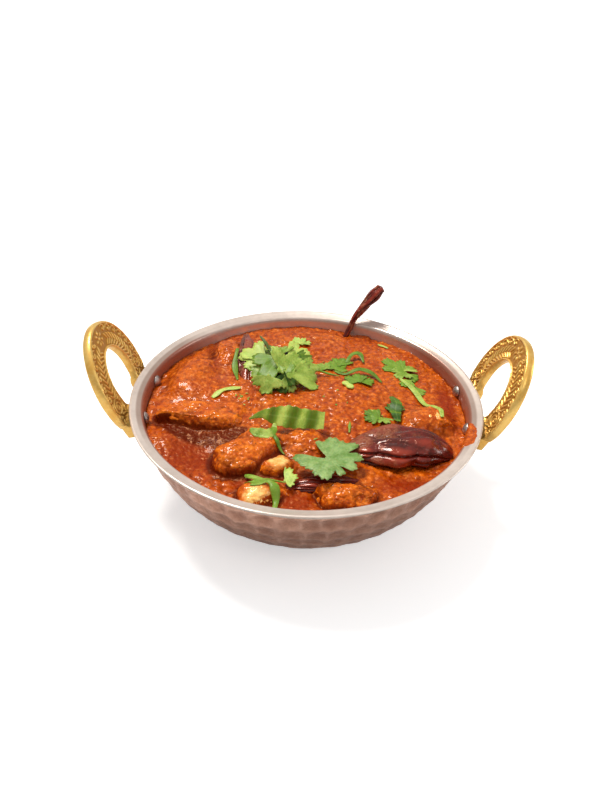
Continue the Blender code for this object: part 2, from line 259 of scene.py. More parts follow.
def piece(name, skins, finish, stands_for=(), mark_names=()):
    """One mesh object from skins, riding on the root and wearing a finish."""
    points, quads, tris, base = [], [], [], 0
    for skin_points, skin_quads, skin_tris, _ in skins:
        points.append(skin_points)
        quads.append(skin_quads + base)
        tris.append(skin_tris + base)
        base += len(skin_points)
    points, quads, tris = np.concatenate(points), np.concatenate(quads), np.concatenate(tris)
    mesh = bpy.data.meshes.new(name)
    mesh.vertices.add(len(points))
    mesh.vertices.foreach_set("co", (points * MM).astype(np.float32).ravel())
    mesh.loops.add(quads.size + tris.size)
    mesh.loops.foreach_set("vertex_index", np.r_[quads.ravel(), tris.ravel()].astype(np.int32))
    sizes = np.r_[np.full(len(quads), 4), np.full(len(tris), 3)]
    mesh.polygons.add(len(sizes))
    mesh.polygons.foreach_set("loop_start", np.r_[0, np.cumsum(sizes)[:-1]].astype(np.int32))
    mesh.update(calc_edges=True)
    mesh.validate()
    mesh.shade_smooth()
    for n, mark in enumerate(mark_names):
        layer = mesh.attributes.new(mark, "FLOAT", "POINT")
        layer.data.foreach_set("value", np.concatenate([s[3][n] for s in skins]).astype(np.float32))
    mesh.materials.append(finish)
    made = bpy.data.objects.new(name, mesh)
    bpy.context.scene.collection.objects.link(made)
    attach(made, "root")
    if stands_for:
        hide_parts(*stands_for)
    return made


def turned(profile, sides):
    """Rings from turning (radius, height) points about the vertical axis."""
    profile = np.asarray(profile, float)
    around = np.arange(sides) * 2 * pi / sides
    radius, height = profile[:, :1], profile[:, 1:2]
    return spread(radius * np.cos(around), radius * np.sin(around), height)


def carried(middle, widths, heights, sides, shape=None, lean=(0, 0, 1)):
    """Oval rings carried along a line, and the poles that round its ends off.

    shape(around, along) swells each point of a ring, and lean is the way the ovals' height points.
    """
    way = unit(np.gradient(middle, axis=0))
    side = unit(np.cross(way, np.asarray(lean, float)))
    top = np.cross(side, way)
    around = np.arange(sides) * 2 * pi / sides
    along = np.linspace(0, 1, len(middle))
    swell = shape(around[None, :], along[:, None]) if shape else 1.0
    u = np.cos(around)[None, :] * widths[:, None] * swell
    v = np.sin(around)[None, :] * heights[:, None] * swell
    rings = middle[:, None] + u[..., None] * side[:, None] + v[..., None] * top[:, None]
    first = rings[0].mean(axis=0) - way[0] * heights[0] * 0.5
    last = rings[-1].mean(axis=0) + way[-1] * heights[-1] * 0.5
    return rings, first, last


# ==== finishes ===================================================================================

def node(tree, kind, inputs=None, **settings):
    """A shader node with its settings and socket values; a socket value may be another node's output."""
    made = tree.nodes.new("ShaderNode" + kind)
    for key, value in settings.items():
        setattr(made, key, value)
    for key, value in (inputs or {}).items():
        if isinstance(value, bpy.types.NodeSocket):
            tree.links.new(value, made.inputs[key])
        else:
            made.inputs[key].default_value = value
    return made


def mix(tree, amount, low, high):
    """Colour between two others."""
    return node(tree, "Mix", {0: amount, 6: low, 7: high}, data_type="RGBA").outputs[2]


def sums(operation):
    """A function that puts one Math node of that operation in a tree."""
    return lambda tree, a, b: node(tree, "Math", {0: a, 1: b}, operation=operation).outputs[0]


times, plus, less, most = (sums(kind) for kind in ("MULTIPLY", "ADD", "SUBTRACT", "MAXIMUM"))


def band(tree, value, low, high, to_low=0.0, to_high=1.0):
    """A value mapped smoothly from one range to another."""
    ends = {"Value": value, "From Min": low, "From Max": high, "To Min": to_low, "To Max": to_high}
    return node(tree, "MapRange", ends, interpolation_type="SMOOTHSTEP").outputs["Result"]


def mark(tree, name):
    """A number that the piece carries at each of its points."""
    return node(tree, "Attribute", attribute_name=name).outputs["Fac"]


def noise(tree, place, scale, detail):
    """Cloudy noise from 0 to 1."""
    return node(tree, "TexNoise", {"Vector": place, "Scale": scale, "Detail": detail}).outputs["Fac"]


def feed(shader, label, value):
    """Leads a value or colour into one of the shader's sockets."""
    shader.id_data.links.new(value, shader.inputs[label])


def rgb(r, g, b):
    """A colour given as it is seen, 0 to 255, in the linear values that a shader takes."""
    seen = np.array([r, g, b]) / 255
    linear = np.where(seen <= 0.04045, seen / 12.92, ((seen + 0.055) / 1.055) ** 2.4)
    return (*[float(v) for v in linear], 1.0)


def group(name, output, scale, fill):
    """A shader node group that takes a place and a scale; fill(tree, inputs) returns its one output."""
    tree = bpy.data.node_groups.new(name, "ShaderNodeTree")
    tree.interface.new_socket("Place", in_out="INPUT", socket_type="NodeSocketVector")
    tree.interface.new_socket("Scale", in_out="INPUT", socket_type="NodeSocketFloat").default_value = scale
    tree.interface.new_socket(output, in_out="OUTPUT", socket_type="NodeSocketFloat")
    given = tree.nodes.new("NodeGroupInput").outputs
    tree.links.new(fill(tree, given), tree.nodes.new("NodeGroupOutput").inputs[output])
    return tree


def finish(name, **values):
    """A material with its Principled shader's own values set; returns it, its tree and the shader."""
    made = bpy.data.materials.new(name)
    made.use_nodes = True
    shader = made.node_tree.nodes["Principled BSDF"]
    for label, value in values.items():
        shader.inputs[label.replace("_", " ")].default_value = value
    return made, made.node_tree, shader


def place_of(tree):
    """Object coordinates, which are the frame's own metres."""
    return node(tree, "TexCoord").outputs["Object"]


def fill_mottle(tree, given):
    """Two sizes of noise mixed into one mask."""
    place, scale = given["Place"], given["Scale"]
    big = node(tree, "TexNoise", {"Vector": place, "Scale": scale, "Detail": 3.0, "Roughness": 0.55})
    fine_scale = times(tree, scale, 5.3)
    fine = node(tree, "TexNoise", {"Vector": place, "Scale": fine_scale, "Detail": 2.0, "Roughness": 0.6})
    both = plus(tree, times(tree, big.outputs["Fac"], 0.62), times(tree, fine.outputs["Fac"], 0.38))
    return band(tree, both, 0.36, 0.64)


MOTTLE = group("mottle", "Mask", 100.0, fill_mottle)


def fill_grain(tree, given):
    """Small rounded lumps with finer grit between them."""
    place, scale = given["Place"], given["Scale"]
    lumps = {"Vector": place, "Scale": scale, "Smoothness": 0.6}
    domes = less(tree, 1.0, node(tree, "TexVoronoi", lumps, feature="SMOOTH_F1").outputs["Distance"])
    grit = noise(tree, place, times(tree, scale, 1.7), 1.5)
    return plus(tree, times(tree, domes, 0.7), times(tree, grit, 0.36))


GRAIN = group("grain", "Height", 900.0, fill_grain)


def mottle(tree, place, scale):
    """The mottle group's mask, from 0 to 1."""
    return node(tree, "Group", {"Place": place, "Scale": scale}, node_tree=MOTTLE).outputs["Mask"]


def grain(tree, place, scale):
    """The grain group's height."""
    return node(tree, "Group", {"Place": place, "Scale": scale}, node_tree=GRAIN).outputs["Height"]


def bump(tree, shader, height, distance):
    """Feeds a height to the shader's normal; distance is in millimetres."""
    made = node(tree, "Bump", {"Height": height, "Distance": distance * MM, "Strength": 1.0})
    feed(shader, "Normal", made.outputs["Normal"])


def sauce_finish(name, dark, middle, light, grain_size, grain_depth, coat, bare=False):
    """Oily, grainy masala: mottled colour, painted shade deep in the hollows and on the smooth pools, bright
    flecks of painted highlight, darker grit, small lumps and a wet coat.
    """
    made, tree, shader = finish(name, Coat_Roughness=0.09, Specular_IOR_Level=0.3,
                                Specular_Tint=(1.0, 0.42, 0.12, 1))
    place = place_of(tree)
    slow = mottle(tree, place, 80.0)
    quick = mottle(tree, place, 420.0)
    hollow_shade = mark(tree, "hollow_shade")
    colour = mix(tree, slow, middle, light)
    colour = mix(tree, times(tree, less(tree, 1.0, quick), 0.62), colour, dark)
    pool_and_shade = mark(tree, "pool_and_shade")
    # painted shade: deep red on the smooth pools, for the shade of the low basins by the wall
    colour = mix(tree, times(tree, pool_and_shade, 0.9), colour, rgb(138, 36, 0))
    # painted shade: near black-red deep in the hollows and creases
    colour = mix(tree, times(tree, hollow_shade, 0.94), colour, rgb(80, 11, 0))
    open_skin = less(tree, 1.0, most(tree, hollow_shade, times(tree, pool_and_shade, 0.65)))
    flecks = noise(tree, place, 460.0, 3.0)
    # painted highlight: bright orange flecks stand in for glints on lit grains, kept off the painted shade
    lit = times(tree, band(tree, flecks, 0.55, 0.72, 0.0, 0.5), open_skin)
    colour = mix(tree, lit, colour, rgb(248, 146, 60))
    colour = mix(tree, band(tree, flecks, 0.46, 0.32, 0.0, 0.5), colour, rgb(104, 22, 0))
    specks = noise(tree, place, 1500.0, 1.0)
    colour = mix(tree, times(tree, band(tree, specks, 0.66, 0.74), 0.75), colour, rgb(72, 22, 4))
    if bare:
        char = noise(tree, place, 240.0, 2.0)
        colour = mix(tree, times(tree, band(tree, char, 0.64, 0.74), 0.6), colour, rgb(66, 26, 12))
        spot = mark(tree, "bare")
        fibre = mottle(tree, place, 330.0)
        meat = mix(tree, fibre, rgb(238, 152, 66), rgb(255, 214, 134))
        colour = mix(tree, spot, colour, meat)
    feed(shader, "Base Color", colour)
    feed(shader, "Coat Weight", band(tree, open_skin, 0.0, 1.0, 0.02, coat))
    oil = mottle(tree, place, 260.0)
    feed(shader, "Roughness", band(tree, oil, 0.0, 1.0, 0.5, 0.26))
    height = grain(tree, place, 1000.0 / grain_size)
    bump(tree, shader, height, grain_depth)
    return made


def steel_finish():
    """Turned steel with a satin sheen; a film of sauce on the inner wall, laid thicker on the side walls as
    painted shade; and painted shade along the flange's turned-under edge.
    """
    made, tree, shader = finish("satin_steel", Roughness=0.3)
    place = place_of(tree)
    parts = node(tree, "SeparateXYZ", {"Vector": place}).outputs
    flat = node(tree, "CombineXYZ", {"X": parts[0], "Y": parts[1]}).outputs[0]
    radius = node(tree, "VectorMath", {0: flat}, operation="LENGTH").outputs["Value"]
    rings = node(tree, "CombineXYZ", {"X": radius, "Z": parts[2]}).outputs[0]
    lines = noise(tree, rings, 2600.0, 3.0)
    cloud = mottle(tree, place, 60.0)
    bare = mix(tree, cloud, rgb(210, 194, 182), rgb(224, 208, 196))
    inner = times(tree, band(tree, radius, (RIM_R - 4.9) * MM, (RIM_R - 5.5) * MM),
                 band(tree, parts[2], (RIM_Z - 0.7) * MM, (RIM_Z - 1.6) * MM))
    low = band(tree, parts[2], (RIM_Z - 3.0) * MM, (RIM_Z - 9.0) * MM)
    # partly a real film of sauce, partly painted shade: it is laid fullest on the left and right walls and at
    # the front, which lie in shade, and faint on the lit back wall
    front = band(tree, parts[1], 0.060, 0.030, 0.1, 1.0)
    streak = mottle(tree, place, 190.0)
    sauce_film_and_shade = times(tree, inner, band(tree, plus(tree, low, times(tree, streak, 0.45)), 0.55, 1.1))
    sauce_film_and_shade = times(tree, sauce_film_and_shade, front)
    sides = most(tree, band(tree, parts[0], -0.045, -0.07), band(tree, parts[0], 0.045, 0.066, 0.0, 0.9))
    sauce_film_and_shade = most(tree, sauce_film_and_shade, times(tree, times(tree, inner, sides), 0.7))
    slope = band(tree, radius, (RIM_R - 2.6) * MM, (RIM_R - 3.6) * MM)
    slope = times(tree, slope, band(tree, parts[1], -0.05, -0.02))
    slope = times(tree, slope, band(tree, parts[1], 0.062, 0.04, 0.08, 0.62))
    colour = mix(tree, slope, bare, rgb(132, 98, 80))
    colour = mix(tree, sauce_film_and_shade, colour, rgb(150, 62, 22))
    # painted shade: a thin dark line where the flange's edge turns under
    under = mark(tree, "under")
    colour = mix(tree, times(tree, under, 0.92), colour, rgb(58, 40, 32))
    feed(shader, "Base Color", colour)
    feed(shader, "Metallic", band(tree, sauce_film_and_shade, 0.0, 1.0, 0.5, 0.15))
    feed(shader, "Roughness", plus(tree, 0.24, times(tree, lines, 0.12)))
    bump(tree, shader, lines, 0.012)
    return made


def copper_finish():
    """Tarnished copper plating: brown in the hollows, rubbed pinkish on the ridges, with scratches."""
    made, tree, shader = finish("hammered_copper", Metallic=0.85, Roughness=0.4)
    place = place_of(tree)
    ridge = mark(tree, "ridge")
    cloud = mottle(tree, place, 55.0)
    base = mix(tree, cloud, rgb(162, 116, 96), rgb(188, 142, 120))
    colour = mix(tree, times(tree, ridge, 0.7), base, rgb(224, 182, 162))
    grime = mottle(tree, place, 420.0)
    colour = mix(tree, times(tree, grime, 0.28), colour, rgb(104, 62, 46))
    feed(shader, "Base Color", colour)
    feed(shader, "Roughness", band(tree, grime, 0.0, 1.0, 0.34, 0.52))
    streaks = node(tree, "Mapping", {"Vector": place, "Scale": (0.35, 0.35, 2.2)})
    scratch = noise(tree, streaks.outputs[0], 900.0, 4.0)
    bump(tree, shader, scratch, 0.08)
    return made


def brass_finish():
    """Cast brass: dark recesses, bright rubbed tops, fine casting grain."""
    made, tree, shader = finish("cast_brass", Metallic=0.6, Specular_IOR_Level=0.5)
    place = place_of(tree)
    high = mark(tree, "raised")
    cloud = mottle(tree, place, 130.0)
    body_colour = mix(tree, cloud, rgb(238, 182, 86), rgb(252, 210, 120))
    colour = mix(tree, high, rgb(188, 130, 48), body_colour)
    feed(shader, "Base Color", colour)
    feed(shader, "Roughness", band(tree, high, 0.0, 1.0, 0.55, 0.3))
    grit = noise(tree, place, 1400.0, 3.0)
    bump(tree, shader, grit, 0.06)
    return made


def chilli_finish():
    """Dried chilli skin: near black to maroon, thin places redder, smears of sauce, high gloss."""
    made, tree, shader = finish("dried_chilli", Specular_IOR_Level=0.4, Coat_Roughness=0.07,
                                Specular_Tint=(1.0, 0.5, 0.35, 1))
    place = place_of(tree)
    thin = mark(tree, "fold")
    cloud = mottle(tree, place, 150.0)
    colour = mix(tree, cloud, rgb(62, 6, 1), rgb(108, 20, 8))
    colour = mix(tree, times(tree, thin, 0.75), colour, rgb(150, 46, 22))
    sauced = mark(tree, "sauced")
    grit = mottle(tree, place, 700.0)
    dab = times(tree, sauced, band(tree, grit, 0.25, 0.85, 0.25, 0.8))
    colour = mix(tree, dab, colour, rgb(156, 98, 68))
    feed(shader, "Base Color", colour)
    feed(shader, "Roughness", band(tree, sauced, 0.0, 1.0, 0.2, 0.48))
    feed(shader, "Coat Weight", band(tree, sauced, 0.0, 1.0, 0.5, 0.1))
    wrinkle = noise(tree, place, 420.0, 4.0)
    lump = grain(tree, place, 1100.0)
    bump(tree, shader, plus(tree, wrinkle, times(tree, lump, sauced)), 0.55)
    return made


def leaf_finish():
    """Coriander: each leaf its own green, paler for lit leaves and darker for shaded ones as painted light
    and shade, paler veins and edges, a little light through the blade.
    """
    made, tree, shader = finish("coriander", Roughness=0.42, Specular_IOR_Level=0.3,
                                Subsurface_Weight=0.12, Subsurface_Scale=0.002)
    place = place_of(tree)
    shade = mark(tree, "shade")
    vein = mark(tree, "vein")
    cloud = mottle(tree, place, 230.0)
    cool = mark(tree, "cool")
    # painted light and shade: the shade mark is low for leaves lying shaded beneath the heap and high for lit
    # ones on top
    tone = plus(tree, shade, times(tree, less(tree, cloud, 0.5), 0.22))
    deep = mix(tree, band(tree, tone, 0.0, 0.5), rgb(50, 88, 8), rgb(106, 140, 30))
    colour = mix(tree, band(tree, tone, 0.5, 1.0), deep, rgb(186, 204, 98))
    colour = mix(tree, times(tree, cool, 0.8), colour, mix(tree, cloud, rgb(96, 132, 62), rgb(146, 172, 112)))
    colour = mix(tree, times(tree, vein, 0.16), colour, rgb(190, 214, 120))
    feed(shader, "Base Color", colour)
    cells = noise(tree, place, 1300.0, 3.0)
    bump(tree, shader, cells, 0.09)
    return made


def rivet_finish():
    """Dull aluminium with scuffs."""
    made, tree, shader = finish("dull_rivet", Metallic=0.9, Roughness=0.42)
    place = place_of(tree)
    cloud = mottle(tree, place, 420.0)
    feed(shader, "Base Color", mix(tree, cloud, rgb(150, 134, 126), rgb(206, 194, 188)))
    scuff = noise(tree, place, 1500.0, 3.0)
    bump(tree, shader, scuff, 0.08)
    return made


STEEL_SKIN = steel_finish()
COPPER_SKIN = copper_finish()
BRASS_SKIN = brass_finish()
RIVET_SKIN = rivet_finish()
CHILLI_SKIN = chilli_finish()
LEAF_SKIN = leaf_finish()
GRAVY_SKIN = sauce_finish("masala_gravy", rgb(124, 30, 0), rgb(188, 74, 0), rgb(214, 100, 4),
                          grain_size=1.7, grain_depth=0.45, coat=0.25)
CHICKEN_SKIN = sauce_finish("coated_chicken", rgb(142, 40, 0), rgb(212, 92, 0), rgb(236, 122, 12),
                            grain_size=1.6, grain_depth=0.48, coat=0.33, bare=True)


# ==== dish =======================================================================================

def wall_radius(z, inset):
    """Radius of the wall's rounded profile at height z, moved in by inset."""
    wide = WALL_TOP_R - inset - BASE_R
    deep = WALL_TOP_Z - inset
    down = np.clip((WALL_TOP_Z - z) / deep, 0.0, 1.0)
    return BASE_R + wide * (1 - down ** CURVE) ** (1 / CURVE)


def wall_profile(inset, top_z, steps):
    """(radius, height) points up the wall from the edge of the base to top_z."""
    deep = WALL_TOP_Z - inset
    last = np.arcsin(((WALL_TOP_Z - top_z) / deep) ** (CURVE / 2))
    turn = np.linspace(pi / 2, last, steps)
    z = WALL_TOP_Z - deep * np.sin(turn) ** (2 / CURVE)
    return np.c_[wall_radius(z, inset), z]


def flange_line(steps):
    """The rolled flange: a lip that leaves the wall, slopes up to the bead and turns under."""
    inner = RIM_R - 5.3
    points = [(inner - 1.15, RIM_Z - 3.4), (inner - 0.75, RIM_Z - 2.2), (inner - 0.1, RIM_Z - 1.45),
              (inner + 1.2, RIM_Z - 1.05), (RIM_R - 2.2, RIM_Z - 0.45), (RIM_R - 1.0, RIM_Z - 0.05),
              (RIM_R - 0.25, RIM_Z - 0.15), (RIM_R - 0.02, RIM_Z - 0.65), (RIM_R - 0.5, RIM_Z - 1.15),
              (RIM_R - 2.2, RIM_Z - 1.45), (inner + 1.0, RIM_Z - 2.1), (inner - 0.1, RIM_Z - 3.0)]
    return smooth_line(points, steps)


def make_bowl():
    """Liner and flange as one turned body, with painted shade marked on the flange's turned-under edge, and
    the bright band below it.
    """
    floor = [(r, INSIDE) for r in (12, 28)]
    inside = wall_profile(INSIDE, RIM_Z - 3.7, 26)
    outside = wall_profile(LINING, RIM_Z - 3.5, 20)[::-1]
    under = [(r, LINING) for r in (28, 12)]
    rings = turned(np.r_[floor, inside, flange_line(64), outside, under], 240)
    bead_end = len(floor) + len(inside) + 38.5
    # painted shade: marks the turned-under part of the flange for a thin dark outline
    painted_dark_edge = ease(np.arange(len(rings)), bead_end, bead_end + 2.5)
    painted_dark_edge = np.repeat(painted_dark_edge[:, None], rings.shape[1], axis=1)
    body = skin(rings, (0, 0, INSIDE), (0, 0, LINING), marks=[painted_dark_edge])
    piece("bowl", [body], STEEL_SKIN, ["steel_bowl"], ["under"])
    turn = np.arange(16) * pi / 8
    rings = turned(np.c_[79.0 + 0.55 * np.cos(turn), COPPER_TOP_Z + 0.3 + 0.5 * np.sin(turn)], 240)
    body = skin(rings, marks=[np.zeros(rings.shape[:2])])
    piece("lip_band", [body], STEEL_SKIN, ["edge_band"], ["under"])


def blow_distances(turn, along, radius_at):
    """Distance to the nearest and second nearest hammer blow; the blows stand in staggered, unsteady rows."""
    near = np.full(turn.shape, 99.0)
    second = near.copy()
    for up in (-1, 0, 1):
        row = np.rint(along / BLOW_ROW) + up
        radius = radius_at(row * BLOW_ROW)
        count = np.rint(2 * pi * radius / BLOW_GAP)
        shift = 0.5 * (row % 2)
        column = np.rint(turn * count / (2 * pi) - shift)
        for aside in (-1, 0, 1):
            which = ((column + aside) % count).astype(int)
            loose = [scatter(row.astype(int), which, n, 5) - 0.5 for n in (0, 1)]
            blow_turn = (column + aside + shift + 0.34 * loose[0]) * 2 * pi / count
            d = np.hypot((turn - blow_turn) * radius, along - (row + 0.26 * loose[1]) * BLOW_ROW)
            second = np.minimum(second, np.maximum(near, d))
            near = np.minimum(near, d)
    return near, second


def make_jacket():
    """Hammered copper: each blow leaves a shallow round scoop, and ridges stand where scoops meet."""
    outside = wall_profile(0.0, COPPER_TOP_Z - 0.05, 96)
    base = [(r, 0.0) for r in (10, 20, 30, 37)]
    inside = wall_profile(COPPER, COPPER_TOP_Z - 0.35, 14)[::-1]
    inner_floor = [(r, COPPER) for r in (30, 10)]
    profile = np.r_[base, outside, inside, inner_floor]
    sides = 420
    rings = turned(profile, sides)
    far = np.r_[0, np.cumsum(np.linalg.norm(np.diff(profile, axis=0), axis=1))]
    turn = np.repeat((np.arange(sides) * 2 * pi / sides)[None], len(profile), axis=0)
    along = np.repeat(far[:, None], sides, axis=1)
    last = len(base) + len(outside)
    near, second = blow_distances(turn, along, lambda at: np.interp(at, far[:last], profile[:last, 0]))
    outer = np.zeros(rings.shape[:2])
    outer[len(base):last] = 1
    z = rings[..., 2]
    worked = outer * ease(z, 0.6, 4.0) * ease(COPPER_TOP_Z - z, 0.2, 1.6)
    scoop = 0.62 * np.clip(near / 5.0, 0, 1.1) ** 2 - 0.35 + 0.12 * waves(rings, 3.0, 15)
    away = unit(rings * np.array([1, 1, -0.35]) + np.array([0, 0, 1e-6]))
    away = np.where(worked[..., None] > 0, away, 0)
    rings = rings + away * (scoop * worked)[..., None]
    ridge = (0.5 * ease(near, 1.6, 5.0) + 0.5 * ease(near - second, -0.7, -0.1)) * worked
    jacket = skin(rings, (0, 0, 0), (0, 0, COPPER), marks=[ridge])
    piece("copper_shell", [jacket], COPPER_SKIN, ["copper_jacket"], ["ridge"])


def loop_point(along, side, depth):
    """A point of a handle's loop: along its slope, to the side, and depth behind its face."""
    x = HANDLE_X + along * cos(HANDLE_TILT) + depth * sin(HANDLE_TILT)
    z = HANDLE_FOOT_Z + along * sin(HANDLE_TILT) - depth * cos(HANDLE_TILT)
    return np.array([x, side, z])


def handle_route(steps):
    """Inner and outer face points along a whole handle, foot to foot, evenly spaced."""
    radial = np.array([cos(RIVET_ANGLE), sin(RIVET_ANGLE), -sin(RIVET_TILT)])
    back = HANDLE_THICK / sin(HANDLE_TILT)
    pairs = []
    for z in FOOT_LEVELS:
        r = wall_radius(z, -0.35)
        inner = np.array([r * cos(RIVET_ANGLE), r * sin(RIVET_ANGLE), z])
        plane_x = HANDLE_X + (z - HANDLE_FOOT_Z) / tan(HANDLE_TILT) + back
        pairs.append((inner, inner + radial * (plane_x - inner[0]) / radial[0]))
    sides = [(0.0, FOOT_SIDE), (4.0, 0.5 * (FOOT_SIDE + LOOP_HALF) + 0.4)]
    sides += [(LOOP_BASE + LOOP_RISE * cos(t), LOOP_HALF * sin(t)) for t in np.linspace(pi / 2, 0, 13)]
    pairs += [(loop_point(a, s, 0.0), loop_point(a, s, HANDLE_THICK)) for a, s in sides]
    flip = np.array([1, -1, 1])
    pairs = np.array(pairs + [(inner * flip, outer * flip) for inner, outer in pairs[-2::-1]])
    dense = smooth_line(pairs.reshape(len(pairs), 6), 1200).reshape(-1, 2, 3)
    gone = np.r_[0, np.cumsum(np.linalg.norm(np.diff(dense.mean(axis=1), axis=0), axis=1))]
    even = np.linspace(0, gone[-1], steps)
    flat = dense.reshape(-1, 6)
    return np.stack([np.interp(even, gone, flat[:, n]) for n in range(6)], axis=-1).reshape(-1, 2, 3), even


def relief(s, w, length):
    """Height of the cast pattern at s along the band and w across it, outer edge positive.

    Rims stand at both edges. Between them a row of paired leaves runs next to the hole and a row of curled
    buds outside it, a flower sits at the top of the loop, and a coil at each foot.
    """
    half = ARM_WIDTH / 2
    mid = s - length / 2
    m = np.abs(mid)
    field = ease(half - 0.9 - np.abs(w + 0.1), 0.0, 0.7)
    rims = 0.32 * np.exp(-((w + half - 0.85) / 0.5) ** 2) + 0.30 * np.exp(-((w - half + 1.0) / 0.55) ** 2)
    leaves = 0.5 + 0.5 * np.cos(2 * pi * (m + 0.95 * np.abs(w + 2.1)) / 2.7)
    midrib = 1 - 0.5 * np.exp(-((w + 2.1) / 0.22) ** 2)
    leaves = leaves ** 1.2 * ease(3.3 - np.abs(w + 2.0), 0.0, 0.8) * midrib
    local = (m % 4.6) - 2.3
    r = np.hypot(local, w - 3.0)
    turn = np.arctan2(w - 3.0, local)
    buds = np.exp(-((r - 0.5 - 0.25 * ((turn + pi) % (2 * pi))) / 0.36) ** 2) + np.exp(-(r / 0.5) ** 2)
    buds = buds * ease(w, 0.9, 1.5)
    flower_r = np.hypot(mid, w - 0.3)
    petals = (0.5 + 0.5 * np.cos(7 * np.arctan2(w - 0.3, mid))) * np.exp(-((flower_r - 2.6) / 1.1) ** 2)
    flower = petals + np.exp(-(flower_r / 0.9) ** 2)
    at_top = ease(6.2 - m, 0.0, 1.4)
    foot = length / 2 - 16.5
    coil_r = np.hypot(m - foot, w)
    coil_turn = np.arctan2(w, m - foot)
    coil = np.exp(-((coil_r % 1.9 - 0.3 * ((coil_turn + pi) % (2 * pi))) / 0.4) ** 2)
    at_foot = ease(4.6 - coil_r, 0.0, 0.8)
    pattern = (leaves + buds) * (1 - at_top) * (1 - at_foot) + flower * at_top + coil * at_foot
    plain = ease(length / 2 - 9.0 - m, 0.0, 1.5)
    return field * plain * (0.62 * np.clip(pattern, 0, 1.1) - 0.5) + rims * plain


def make_handle(name, side, stands_for):
    """A cast loop: the band's outline carried along its route, its inner face raised in relief."""
    route, s = handle_route(620)
    inner, outer = route[:, 0], route[:, 1]
    away = unit(outer - inner)
    half_thick = np.linalg.norm(outer - inner, axis=1) / 2
    centre = (inner + outer) / 2
    across = unit(np.cross(away, np.gradient(centre, axis=0)))
    half = ARM_WIDTH / 2
    top = np.linspace(-half + 0.55, half - 0.55, 84)
    edge = np.linspace(-pi / 2, pi / 2, 9)[1:-1]
    back = np.linspace(half - 0.9, -half + 0.9, 12)
    w = np.r_[top, half - 0.55 + 0.55 * np.cos(edge), back, -half + 0.55 - 0.55 * np.cos(edge[::-1])]
    level = np.r_[np.full(len(top), -1.0), np.sin(edge), np.full(len(back), 1.0), np.sin(edge[::-1])]
    depth = level[None, :] * half_thick[:, None]
    lift = np.zeros((len(s), len(w)))
    facing = slice(0, len(top))
    lift[:, facing] = relief(s[:, None], -top[None, :], s[-1])
    centre_points = centre[:, None] + across[:, None] * w[None, :, None]
    rings = centre_points + away[:, None] * (depth - lift)[..., None]
    rough = 0.05 * layers(rings, 1.6, 3) + 0.04 * waves(rings, 5.0, 4)
    rings = rings - away[:, None] * (rough * (level < 0.5))[..., None]
    raised = ease(lift, -0.42, 0.1)
    raised[:, len(top):] = 0.85
    rings = rings * np.array([side, 1, 1])
    body = closed(rings, [raised])
    piece(name, [body], BRASS_SKIN, [stands_for], ["raised"])


def make_rivets():
    """Domed heads inside, each with its shank through the wall into the handle's foot."""
    head_at = -(COPPER + 0.3 + STEEL + 0.42)
    for place, angle in (("front_right", -RIVET_ANGLE), ("back_right", RIVET_ANGLE),
                         ("front_left", pi + RIVET_ANGLE), ("back_left", pi - RIVET_ANGLE)):
        axis = np.array([cos(angle) * cos(RIVET_TILT), sin(angle) * cos(RIVET_TILT), -sin(RIVET_TILT)])
        across = np.array([-sin(angle), cos(angle), 0])
        up = np.cross(axis, across)
        r = wall_radius(RIVET_Z, 0.0)
        at = np.array([r * cos(angle), r * sin(angle), RIVET_Z])
        dome = np.linspace(0.12, 1, 12)
        profile = [(2.85 * sin(t * pi / 2), head_at - 1.75 * cos(t * pi / 2) ** 1.3) for t in dome[:-1]]
        profile += [(2.85, head_at - 0.05), (2.7, head_at + 0.12), (1.4, head_at + 0.1), (1.4, 4.4)]
        profile = np.array(profile)
        around = np.arange(40) * 2 * pi / 40
        ring = np.outer(np.cos(around), across) + np.outer(np.sin(around), up)
        rings = at + axis * profile[:, 1, None, None] + ring[None] * profile[:, 0, None, None]
        rings = rings + axis * 0.08 * waves(rings, 1.3, 8)[..., None]
        body = skin(rings, at + axis * (head_at - 1.78), at + axis * 4.4)
        piece("rivet_dome_" + place, [body], RIVET_SKIN, ["rivet_" + place])


# ==== food ====================================================================================

MAP_STEP = 0.5
MAP_HALF = 84.0
MAP_SIDE = int(2 * MAP_HALF / MAP_STEP) + 1


def blank_map():
    """An empty plan of heights."""
    return np.full((MAP_SIDE, MAP_SIDE), -60.0)


def stamp(plan, points):
    """Raises the plan to the highest point that falls in each of its cells."""
    points = points.reshape(-1, 3)
    ij = np.floor((points[:, :2] + MAP_HALF) / MAP_STEP).astype(int).clip(0, MAP_SIDE - 2)
    for i in (0, 1):
        for j in (0, 1):
            np.maximum.at(plan, (ij[:, 0] + i, ij[:, 1] + j), points[:, 2])


def read(plan, x, y):
    """The plan's height between its cells."""
    u = np.clip((x + MAP_HALF) / MAP_STEP, 0, MAP_SIDE - 1.001)
    v = np.clip((y + MAP_HALF) / MAP_STEP, 0, MAP_SIDE - 1.001)
    i, j = u.astype(int), v.astype(int)
    fu, fv = u - i, v - j
    near = plan[i, j] * (1 - fv) + plan[i, j + 1] * fv
    far = plan[i + 1, j] * (1 - fv) + plan[i + 1, j + 1] * fv
    return near * (1 - fu) + far * fu


def blurred(plan, reach):
    """The plan averaged over a soft round window of that reach in millimetres."""
    cells = int(3 * reach / MAP_STEP)
    k = np.arange(-cells, cells + 1)
    weight = np.exp(-0.5 * (k * MAP_STEP / reach) ** 2)
    weight = weight / weight.sum()
    padded = np.pad(plan, cells, mode="edge")
    rows = sum(w * padded[n:n + MAP_SIDE] for n, w in enumerate(weight))
    return sum(w * rows[:, n:n + MAP_SIDE] for n, w in enumerate(weight))


